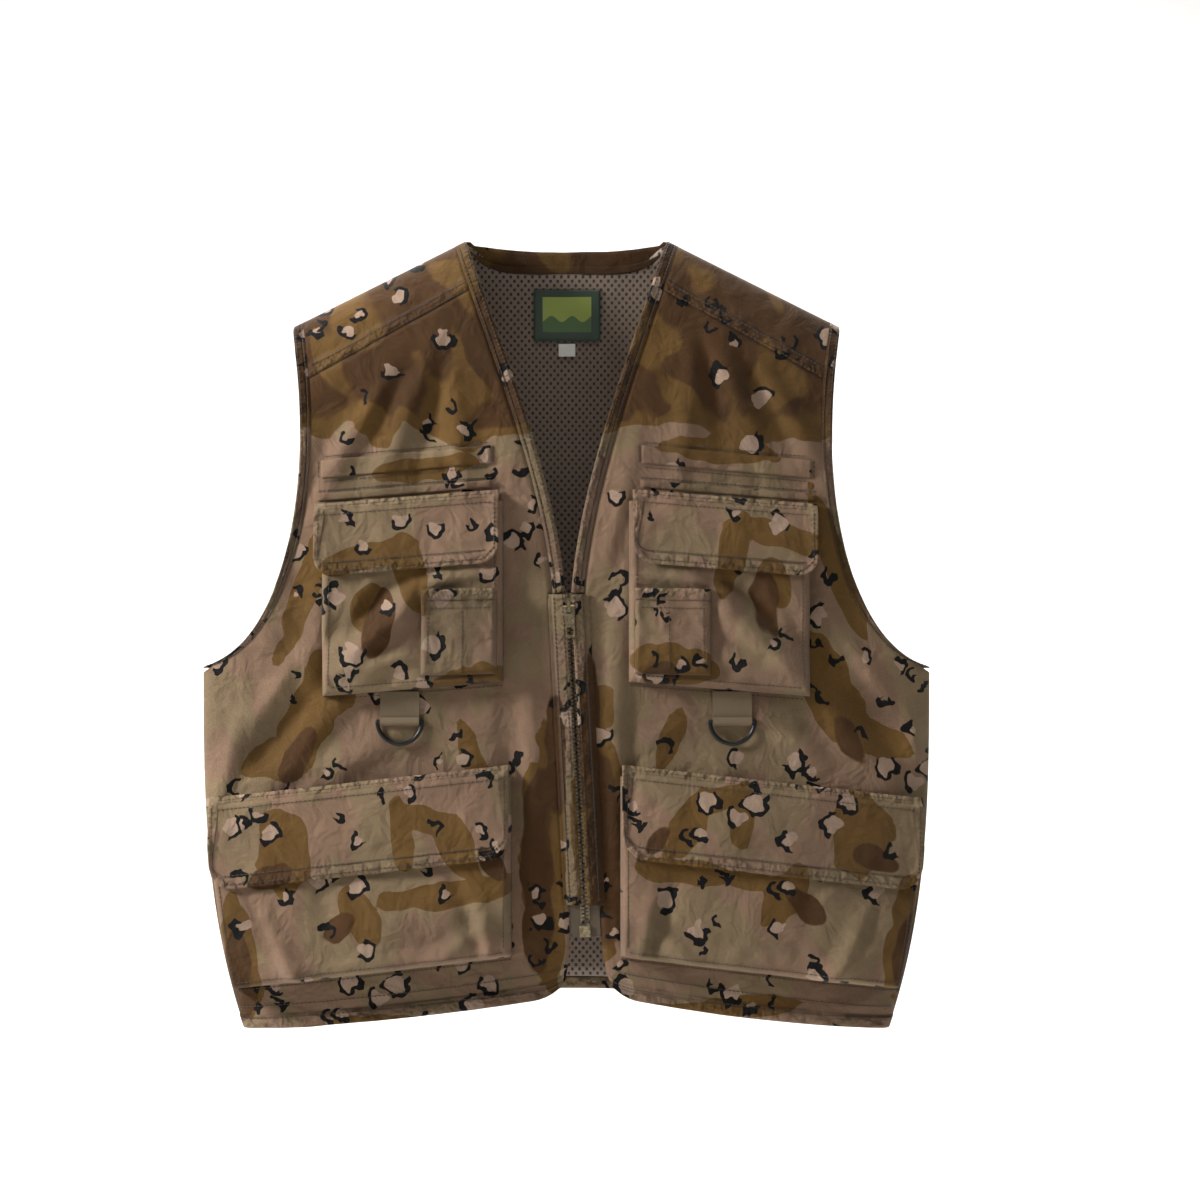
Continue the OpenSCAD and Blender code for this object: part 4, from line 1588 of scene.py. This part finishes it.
@dataclass
class Armhole(Part):
    """The bound armhole: a front and a back strip folded over the edge, and its sewing."""

    def build(self) -> None:
        """Models both strips and two rows of stitches on each."""
        b = self.body
        front = FrontHalf(b, self.side)

        def front_at(w: Array, t: Array, d: Array) -> Array:
            """A place on the front, w in from the armhole."""
            return front.at(1 - w / b.front_span(t, self.sign), t, d)

        def back_at(w: Array, t: Array, d: Array) -> Array:
            """A place on the back, w in from the armhole."""
            p = b.back_xz(self.sign * (1 - w / b.outer_edge(t)[..., 0]), t)
            return b.skin(p[..., 0], p[..., 1], d, back=True)
        for what, at, outer, tones in (
            ("front", front_at, -1, SHELL_PRINT), ("back", back_at, 1, BACK_PRINT)
        ):
            def place(u: Array, v: Array, at: Callable = at) -> Array:
                """A place on the piece, for its column and row shares."""
                w, d = wrap(u, b.bind_w, 0.5, BINDING_DEEP)
                return at(w, 0.5 * v, d)
            piece = ClothPiece(
                self.named(f"armhole_{what}") + "_cloth", place, SHADED_TRIM_TWILL, cols=22, rows=110,
                thick=0.9, facing=0.3, outer_y=outer, hems="m", tones=tones.tones,
                pattern=(170.0, 12.0)
            )
            self.settle(piece.build(), "camo_twill", self.named("armhole_binding"))
            t = line(0.004, 0.497, 150)
            rows = [at(np.full(150, w), t, np.full(150, 0.75)) for w in (2.2, 7.4)]
            obj = self.stitch(self.named(f"armhole_{what}_stitches"), *rows, out=FORWARD * -outer)
            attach(obj, ROOT)


@dataclass
class Back:
    """The whole back: yoke, panel, hem, neck facing, lining and labels."""

    body: HungBody

    def at(self, s: Array, t: Array, d: Array | float) -> Array:
        """A place on the back, d behind its outer face."""
        p = self.body.back_xz(s, t)
        return self.body.skin(p[..., 0], p[..., 1], d, back=True)

    def neck_t(self, s: Array) -> Array:
        """Row where the neck facing ends.

        Args:
            s: Share of the width.

        Returns:
            A share of the length for each s.
        """
        b = self.body
        a = unit(np.abs(s) * b.shoulder_half / b.neck_half)
        return b.bind_w / b.back_length * (1 - a**6)

    def part(self, top: float, low: float, d: float) -> Place:
        """The place function of a layer between two rows.

        Args:
            top: First row, as a share of the length.
            low: Last row.
            d: Height of its outer face.

        Returns:
            The place function.
        """
        def place(u: Array, v: Array) -> Array:
            """A place on the piece, for its column and row shares."""
            c = 2 * u - 1
            c = np.sign(c) * (1 - (1 - np.abs(c)) ** 1.25)
            first = self.neck_t(c) if top == 0 else top
            t = mix(first, low, v)
            arm = np.where(t <= 0.5, 1 - self.body.bind_w / self.body.outer_edge(t)[..., 0], 1.0)
            return self.at(c * arm, t, d)
        return place

    def keep(self, piece: ClothPiece, slot: str, node: str) -> None:
        """Builds a piece, stands it in for its node and fixes it to the vest.

        Args:
            piece: The piece.
            slot: Not used.
            node: The node it stands in for.
        """
        obj = piece.build()
        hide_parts(node)
        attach(obj, ROOT)

    def build(self) -> None:
        """Models every piece of the back."""
        b = self.body
        for what, top, low, rows, d in (("back_yoke", 0.0, b.t_back_yoke, 20, 0.35),
                                        ("back_panel", b.t_back_yoke, b.t_hem, 90, 0.0),
                                        ("hem_back", b.t_hem, 1.0, 5, 0.5)):
            self.keep(
                ClothPiece(
                    what + "_cloth", self.part(top, low, d), BODY_TWILL, cols=110, rows=rows,
                    outer_y=1, tones=BACK_PRINT.tones, hems="b", pattern=(711.0, 333.0)
                ),
                "camo_twill", what
            )
        self.keep(
            ClothPiece(
                "mesh_lining_back_cloth", self.part(0.0, b.t_hem, -LINING_DEEP), LINING, cols=80,
                rows=70, thick=0.8, outer_y=1
            ),
            "mesh", "mesh_lining_back"
        )

        def facing(u: Array, v: Array) -> Array:
            """A place on the neck facing, folded over the edge."""
            s = (2 * u - 1) * 0.985 * b.neck_half / b.shoulder_half
            w, d = wrap(v, 1.0, 0.5, BINDING_DEEP)
            return self.at(s, w * self.neck_t(s), d)
        self.keep(
            ClothPiece(
                "back_neck_facing_cloth", facing, SHADED_TRIM_TWILL, cols=50, rows=20, thick=0.8,
                outer_y=-1, tones=BACK_PRINT.tones, pattern=(40.0, 9.0)
            ),
            "camo_twill", "back_neck_facing"
        )
        for node, finish, drop, w, h, slot in (
            ("neck_label", LabelWeave("damask_label"), 31, 48, 38, "label"),
            ("size_tab", SATIN, 71, 12, 9, "size_tab")
        ):
            def label(u: Array, v: Array, drop: float = drop, w: float = w, h: float = h) -> Array:
                """A place on a label, inside the back."""
                return b.skin((u - 0.5) * w, -drop - v * h, -6.0 + 0.25 * np.sin(3 * u), back=True)
            self.keep(
                ClothPiece(
                    node + "_cloth", label, finish, cols=24, rows=18, thick=0.6, outer_y=-1,
                    pattern=(0.0, drop + h / 2)
                ),
                slot, node
            )
        rows = []
        for t_row, d in (
            (b.t_back_yoke - 0.004, 0.6), (b.t_back_yoke - 0.013, 0.6), (b.t_hem + 0.004, 0.75)
        ):
            rows.append(self.at(line(-0.95, 0.95, 200), np.full(200, t_row), d))
        obj = Stitches("back_stitches").build(rows, [np.tile(-FORWARD, (200, 1)) for _ in rows])
        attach(obj, ROOT)
        rim = [b.skin(x, z, -6.8 - 0 * x, back=True) for x, z in (
            (line(-22, 22), np.full(60, -33.0)), (line(-22, 22), np.full(60, -67.0)))]
        obj = Stitches("label_stitches", gap=2.4, long=1.7, thick=0.25).build(
            rim, [np.tile(FORWARD, (60, 1)) for _ in rim])
        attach(obj, ROOT)


@dataclass
class Pocket(Part):
    """A bellows pocket with its flap: everything in the pocket's own places u, v."""

    kind: str = "chest"
    x0: float = 44
    drop: float = 186
    fall: float = 0.08
    w: float = 127
    h: float = 127
    mouth: float = 7
    deep: float = 14
    wide: float = 0
    flap_x: float = 47
    flap_w: float = 129
    flap_h: float = 51
    corner: float = 14
    puffs: Sequence[Fold] = ()
    calm: tuple[float, float] = (-99, 0)
    tones: Print = CHEST_PRINT
    patch: tuple[float, float, float, float] = (28.5, 18, 70, 16)
    side_gap: float = 4
    closure: float = 2.8
    mouth_drop: float = 8

    def xz(self, x0: float, drop: float, u: Array, v: Array, w: float) -> tuple[Array, Array]:
        """The place u outwards and v down; the outer edge keeps inside the body.

        Args:
            x0: Its inner edge.
            drop: Drop of its top edge.
            u: Distance outwards.
            v: Distance down.
            w: Its width.

        Returns:
            X and Z for each place.
        """
        z = -drop - u * self.fall - v
        outer = np.minimum(x0 + w, self.body.body_half(-drop - w * self.fall - v) - self.side_gap)
        return self.sign * (x0 + u * (outer - x0) / w), z

    def height(self, v: Array) -> Array:
        """Height of the pocket's face."""
        return mix(self.mouth, self.deep, v / self.h)

    def puff(self, x: Array, z: Array, v: Array) -> Array:
        """Sagging folds of the face, none under the flap.

        Args:
            x: X of each place, in millimetres.
            z: Z of each place, in millimetres.
            v: Distance down.

        Returns:
            Heights in millimetres.
        """
        total = sum(f.at(np.abs(x), z) for f in self.puffs) + 0.5 * ripple(x, z, 34, 2.7)
        clear = np.maximum(np.abs(x) - self.x0 - self.calm[0], self.calm[1] - v)
        total = total * (0.25 + 0.75 * ease(clear / 12))
        return total * ease((v - (self.flap_h - self.mouth_drop) + 2) / 14)

    def bag(self, u: Array, v: Array) -> Array:
        """The pocket's outer face, with its rounded sides.

        Args:
            u: Distance outwards.
            v: Distance down.

        Returns:
            Points in millimetres.
        """
        x, z = self.xz(self.x0, self.drop, u, v, self.w)
        f = swell(np.minimum(u, self.w - u), 5.0) * swell(self.h - v, 5.0)
        low = self.body.skin(x, z, 0.3)
        high = self.body.face(x, z, self.height(v) + self.puff(x, z, v), self.wide)
        return mix(low, high, np.expand_dims(f, -1))

    def long_at(self, u: Array) -> Array:
        """The flap's length at u, shorter at its round corners."""
        q = np.maximum(0, self.corner - np.minimum(u, self.flap_w - u))
        return self.flap_h - self.corner + np.sqrt(np.maximum(self.corner**2 - q**2, 0))

    def lid(self, u: Array, v: Array, lift: float = 1.1) -> Array:
        """A place on the flap, v down from its hinge line; its free edge waves a little.

        Args:
            u: Distance outwards.
            v: Distance down.
            lift: Height over the flap's inner layer.

        Returns:
            Points in millimetres.
        """
        root = self.mouth_drop - 1
        high = mix(self.mouth, self.deep, unit((v - self.mouth_drop) / self.h)) + self.closure
        x, z = self.xz(self.flap_x, self.drop - self.mouth_drop, u, v, self.flap_w)
        wave = ease((v - 12) / 24) * (0.55 + 0.6 * ripple(x, z, 46, 1.9 + self.w))
        return self.body.face(x, z, mix(1.4, high, ease(v / root)) + lift + wave, self.wide)

    def turn(self, obj: bpy.types.Object) -> bpy.types.Object:
        """Bakes a piece's transform into its mesh.

        Args:
            obj: The object.

        Returns:
            The same object.
        """
        lean = self.sign * self.fall
        z = -(self.drop - self.mouth_drop) - 0.5 * self.fall * self.flap_w
        mid = self.sign * (self.flap_x + self.flap_w / 2)
        start = Vector((mid + lean * -1.0, -40, z + 1.5)) * MM
        end = Vector((mid - lean * 8.0, -40, z - 8.0)) * MM
        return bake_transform(obj, ROOT, self.named(f"{self.kind}_flap"), tuple(start), tuple(end))

    def build(self) -> None:
        """Models the pocket, its flap, its closure and their sewing."""
        base = (13.0 * len(self.kind), 60.0)

        def bag(u: Array, v: Array) -> Array:
            """A place on the pocket's face, with close rows at its edges."""
            uu = dense_ends(u, self.w, 5.5, 0.13)
            vv = self.h - dense_ends(unit((1 - v) * 0.5), 2 * self.h, 5.5, 0.08)
            return self.bag(uu, vv)
        piece = ClothPiece(
            self.named(f"{self.kind}_pocket") + "_cloth", bag, BODY_TWILL, cols=70, rows=64,
            tones=self.tones.tones, pattern=base
        )
        self.settle(piece.build(), "camo_twill", self.named(f"{self.kind}_pocket"))

        def lid(u: Array, v: Array) -> Array:
            """A place on the flap, with close rows at its hinge line."""
            uu = dense_ends(u, self.flap_w, self.corner, 0.16)
            vv = self.long_at(uu) * np.where(v < 0.3, v / 0.3 * 0.2, 0.2 + (v - 0.3) / 0.7 * 0.8)
            return self.lid(uu, vv)
        piece = ClothPiece(
            self.named(f"{self.kind}_flap") + "_cloth", lid, BODY_TWILL, cols=72, rows=34,
            thick=1.1, tones=self.tones.tones, hems="lrtb", pattern=(base[0] + 61, 23.0)
        )
        flap = piece.build()
        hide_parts(self.named(f"{self.kind}_flap"))
        self.turn(flap)
        self.closure_patches()
        self.sewing()

    def closure_patches(self) -> None:
        """Hook patch on the flap and loop patch on the pocket."""
        pu, pv, pw, ph = self.patch
        for what, lift, finish in (
            ("hook", self.closure - 1 - 0.25 + 1, HOOK_TAPE), ("loop", 0.2 + 1, HOOK_TAPE)
        ):
            def place(u: Array, v: Array, lift: float = lift) -> Array:
                """A place on the piece, for its column and row shares."""
                x, z = self.xz(self.x0 + pu, self.drop + pu * self.fall + pv, u * pw, v * ph, pw)
                return self.body.face(
                    x, z, mix(self.height(pv), self.height(pv + ph), v) + lift, self.wide
                )
            node = self.named(f"{self.kind}_{what}_patch")
            piece = ClothPiece(node + "_tape", place, finish, cols=30, rows=8, thick=1.0)
            obj = piece.build()
            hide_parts(node)
            if what == "hook":
                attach(obj, self.named(f"{self.kind}_flap"))
            else:
                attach(obj, ROOT)

    def sewing(self) -> None:
        """Rows round the flap and round the pocket's rim."""
        n = 160
        rows = []
        for inset in (3.0, 9.2):
            run = line(0, 1, 3 * n)
            side = self.flap_h - self.corner - 4
            uu = np.clip(-side + (self.flap_w + 2 * side) * run, inset, self.flap_w - inset)
            fall_in = np.where(run < 0.5, run, 1 - run) * (self.flap_w + 2 * side)
            vv = np.minimum(self.long_at(np.clip(uu, 0, self.flap_w)) - inset, 4 + fall_in)
            vv = np.where(
                np.minimum(uu, self.flap_w - uu) <= inset + 0.01,
                np.minimum(4 + fall_in, self.long_at(uu) - inset), vv
            )
            if inset > 5:
                uu, vv = line(9, self.flap_w - 9, n), np.full(n, self.flap_h - inset)
            rows.append(self.lid(uu, vv, 1.35))
        for v in (2.5, 8.6):
            rows.append(self.lid(line(5, self.flap_w - 5, n), np.full(n, v), 1.35))
        flap = self.stitch(self.named(f"{self.kind}_flap_stitches"), *rows)
        self.turn(flap)
        rim = []
        v = line(4, self.h - 6, n)
        for u in (5.6, self.w - 5.6):
            rim.append(self.bag(np.full(n, u), v) + FORWARD * 0.2)
        rim.append(self.bag(line(6, self.w - 6, n), np.full(n, self.h - 5.8)) + FORWARD * 0.2)
        x, z = self.xz(self.x0, self.drop, line(0, self.w, n), np.full(n, self.h + 2.4), self.w)
        rim.append(self.body.skin(x, z, 0.25))
        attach(self.stitch(self.named(f"{self.kind}_pocket_stitches"), *rim), ROOT)


@dataclass
class PenPocket(Part):
    """The small open pocket on the chest pocket's face."""

    chest: Pocket | None = None
    x0: float = 48
    v0: float = 61
    w: float = 53
    h: float = 60
    deep: float = 7
    fall: float = 0.02

    def place_at(self, u: Array, v: Array) -> Array:
        """Its outer face.

        Args:
            u: Distance outwards.
            v: Distance down.

        Returns:
            Points in millimetres.
        """
        x = self.sign * (self.x0 + u)
        z = -(self.chest.drop + self.v0) - u * self.fall - v
        f = swell(np.minimum(u, self.w - u), 4.0) * swell(self.h - v, 4.0)
        base = self.chest.height(self.v0 + v) + self.chest.puff(x, z, self.v0 + v)
        low = self.body.skin(x, z, base + 0.3)
        sag = 0.8 * ripple(x, z, 24, 5.0) * ease(v / 10)
        high = self.body.face(x, z, base + self.deep - 1.2 + sag)
        return mix(low, high, np.expand_dims(f, -1))

    def build(self) -> None:
        """Models the pocket and its three rows of sewing."""
        def place(u: Array, v: Array) -> Array:
            """A place on the piece, for its column and row shares."""
            uu = dense_ends(u, self.w, 4.4, 0.16)
            vv = self.h - dense_ends(unit((1 - v) * 0.5), 2 * self.h, 4.4, 0.1)
            return self.place_at(uu, vv)
        piece = ClothPiece(self.named("pen_pocket") + "_cloth", place, SHADED_TRIM_TWILL, cols=44, rows=46,
                           tones=CHEST_PRINT.tones, hems="t", pattern=(222.0, 140.0))
        self.settle(piece.build(), "camo_twill", self.named("pen_pocket"))
        n = 60
        rows = [self.place_at(line(4, self.w - 4), np.full(n, 13.5)) + FORWARD * 0.3,
                self.place_at(np.full(n, 24.0), line(15, self.h - 5)) + FORWARD * 0.3,
                self.place_at(np.full(n, self.w - 5), line(3, self.h - 6)) + FORWARD * 0.3]
        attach(self.stitch(self.named("pen_pocket_stitches"), *rows), ROOT)


@dataclass
class WeltPocket(Part):
    """Welt with its inner bag, and the flat piping strip above the chest flap."""

    def strip(self, x0: float, drop: float, fall: float, w: float, h: float, d: float) -> Place:
        """The place function of a strip on the shell, a little pillowed.

        Args:
            x0: Its inner edge.
            drop: Drop of its top edge.
            fall: Fall for each millimetre outwards.
            w: Its width.
            h: Its height.
            d: Height of its outer face.

        Returns:
            The place function.
        """
        def place(u: Array, v: Array) -> Array:
            """A place on the piece, for its column and row shares."""
            x, z = self.sign * (x0 + u * w), -drop - u * w * fall - v * h
            pillow = 0.7 * (4 * v * (1 - v)) ** 0.5 + 0.25 * np.sin(u * w / 5.0)
            return self.body.skin(x, z, d + (pillow if d > 0 else 0))
        return place

    def build(self) -> None:
        """Models the three strips and their sewing."""
        for node, at, finish, thick, slot in (
                ("welt", (53, 147, 0.088, 119, 12.6, 1.5), BODY_TWILL, 1.1, "camo_twill"),
                ("pocket_piping", (52, 171.4, 0.08, 123, 5, 1.5), SHADED_TRIM_TWILL, 1.1, "camo_trim"),
                ("inner_bag", (56, 143, 0.088, 113, 88, -1.6), INNER_TWILL, 1.2, "mesh")):
            piece = ClothPiece(self.named(node) + "_cloth", self.strip(*at), finish, cols=50,
                               rows=14 if node != "inner_bag" else 40, thick=thick,
                               tones=SHELL_PRINT.tones, pattern=(55.0, 19.0))
            self.settle(piece.build(), slot, self.named(node))
        n = 90
        rows = []
        for u, v in ((line(2, 117, n), np.full(n, -2.4)), (line(2, 117, n), np.full(n, 15.2)),
                     (np.full(n, -2.0), line(0, 13, n)), (np.full(n, 121.0), line(0, 13, n))):
            rows.append(self.body.skin(self.sign * (53 + u), -147 - u * 0.088 - v, 0.25))
        for v in (-2.0, 7.2):
            u = line(0, 123, n)
            rows.append(self.body.skin(self.sign * (52 + u), -171.4 - u * 0.08 - v, 0.25))
        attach(self.stitch(self.named("welt_stitches"), *rows), ROOT)


@dataclass(frozen=True)
class Fittings:
    """Zip, rings and ring tabs: the frame's own nodes with their materials."""

    def build(self) -> None:
        """Gives each node its finish."""
        nodes = {o.name: o for o in bpy.data.objects if o.type == "MESH"}
        for name, obj in nodes.items():
            finish = None
            if name.startswith("zip_tape"):
                finish = ZIP_TAPE
            elif name.startswith("zip_"):
                finish = ZIP_METAL
            elif name.startswith("d_ring"):
                finish = RING_PAINT
            elif name.startswith("ring_tab"):
                finish = WEBBING
            if finish:
                obj.data.materials.clear()
                obj.data.materials.append(finish.make())
                LOG.info("%s: %s", name, finish.name)


@dataclass
class Studio:
    """Pale floor and wall, soft lights, and the camera straight in front."""

    middle: tuple[float, float, float] = (0.0238, -1.9, -0.2555)
    lens: float = 80.0
    floor: float = -1.0

    def sweep(self) -> None:
        """One white board: a floor that curves up into a wall."""
        bpy.ops.object.select_all(action="DESELECT")
        bpy.ops.mesh.primitive_plane_add(size=9.0)
        obj = bpy.context.active_object
        obj.name = "studio_sweep"
        bpy.ops.object.mode_set(mode="EDIT")
        bpy.ops.mesh.select_all(action="DESELECT")
        bpy.ops.object.mode_set(mode="OBJECT")
        for edge in obj.data.edges:
            edge.select = all(obj.data.vertices[v].co.y > 4 for v in edge.vertices)
        bpy.ops.object.mode_set(mode="EDIT")
        bpy.ops.mesh.select_mode(type="EDGE")
        bpy.ops.mesh.extrude_region_move(TRANSFORM_OT_translate={"value": (0, 0, 6)})
        bpy.ops.object.mode_set(mode="OBJECT")
        bend = obj.modifiers.new("bend", "BEVEL")
        bend.width = 2.5
        bend.segments = 24
        bpy.ops.object.modifier_apply(modifier=bend.name)
        obj.data.transform(Matrix.Translation((0, -2.0, self.floor)))
        smooth(obj)
        obj.data.materials.append(STUDIO.make())
        obj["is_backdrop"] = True

    def light(self, name: str, at: tuple[float, float, float], size: float, power: float) -> None:
        """A soft square light aimed at the vest.

        Args:
            name: Its name.
            at: Its place, in metres.
            size: Its side, in metres.
            power: Its power, in watts.
        """
        data = bpy.data.lights.new(name, "AREA")
        data.size = size
        data.energy = power
        obj = bpy.data.objects.new(name, data)
        bpy.context.scene.collection.objects.link(obj)
        obj.location = at
        obj.rotation_euler = (Vector((0, 0, -0.27)) - Vector(at)).to_track_quat("-Z", "Y").to_euler(
        )

    def build(self) -> None:
        """Sets the stage."""
        self.sweep()
        self.light("key", (-1.35, -0.55, 0.3), 0.34, 38)
        self.light("fill", (1.5, -1.6, 0.2), 1.4, 2)
        self.light("floor_wash", (0.0, -0.9, 2.4), 1.1, 30)
        self.light("wall_wash", (0.0, 0.9, 1.8), 2.0, 85)
        world = bpy.data.worlds.new("studio")
        bpy.context.scene.world = world
        world.use_nodes = True
        back = world.node_tree.nodes["Background"]
        back.inputs[0].default_value = colour("#ffffff")
        back.inputs[1].default_value = 0.16
        data = bpy.data.cameras.new("camera")
        data.lens = self.lens
        camera = bpy.data.objects.new("camera", data)
        bpy.context.scene.collection.objects.link(camera)
        camera.location = self.middle
        camera.rotation_euler = (math.pi / 2, 0, 0)
        bpy.context.scene.camera = camera
        bpy.context.scene.view_settings.view_transform = "Standard"


LOWER = dict(
    kind="lower", x0=38, drop=379, fall=0.112, w=211, h=126, mouth=9, deep=20, wide=22, flap_x=40,
    flap_w=210.5, flap_h=64, corner=16, tones=LOWER_PRINT, patch=(36, 26, 120, 18),
    puffs=(
        Fold(96, -478, -16, 64, 14, 3.0), Fold(200, -498, 60, 40, 7, 7.5),
        Fold(212, -482, 64, 38, 5, -5.6), Fold(186, -516, 30, 34, 7, 5.0),
        Fold(56, -486, 80, 30, 5, 5.4), Fold(67, -480, 70, 30, 5, -4.6),
        Fold(76, -496, -40, 28, 6, 4.2), Fold(130, -508, -6, 80, 7, 3.4),
        Fold(140, -455, 70, 28, 8, 2.4), Fold(168, -470, 80, 34, 8, -2.8)
    )
)
CHEST_PUFFS = (Fold(120, -270, -40, 66, 9, 10.0), Fold(131, -254, -42, 58, 8, -6.5),
               Fold(152, -272, -62, 34, 6, 3.6), Fold(76, -241, -14, 40, 5, 4.2),
               Fold(140, -303, -12, 36, 6, 4.2), Fold(118, -298, -28, 34, 6, 3.6),
               Fold(104, -290, -36, 30, 5, -3.2), Fold(96, -236, -60, 22, 5, -3.0))


def record_size(corners: list, name: str) -> None:
    corners.append({"when": name, "bounds": [list(map(float, c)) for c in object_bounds()]})


def main() -> None:
    """Loads the frame, dresses it and sets the stage."""
    logging.basicConfig(level=logging.INFO, format="%(name)s %(message)s")
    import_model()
    sizes: list = []
    record_size(sizes, "frame")
    bpy.ops.object.select_all(action="DESELECT")
    body = HungBody()
    Back(body).build()
    for side in Side:
        FrontHalf(body, side).build()
        Armhole(body, side).build()
        chest = Pocket(body, side, puffs=CHEST_PUFFS, calm=(57, 58))
        chest.build()
        PenPocket(body, side, chest=chest).build()
        Pocket(body, side, **LOWER).build()
        WeltPocket(body, side).build()
    Fittings().build()
    Studio().build()
    record_size(sizes, "finished")


if __name__ == "__main__":
    main()
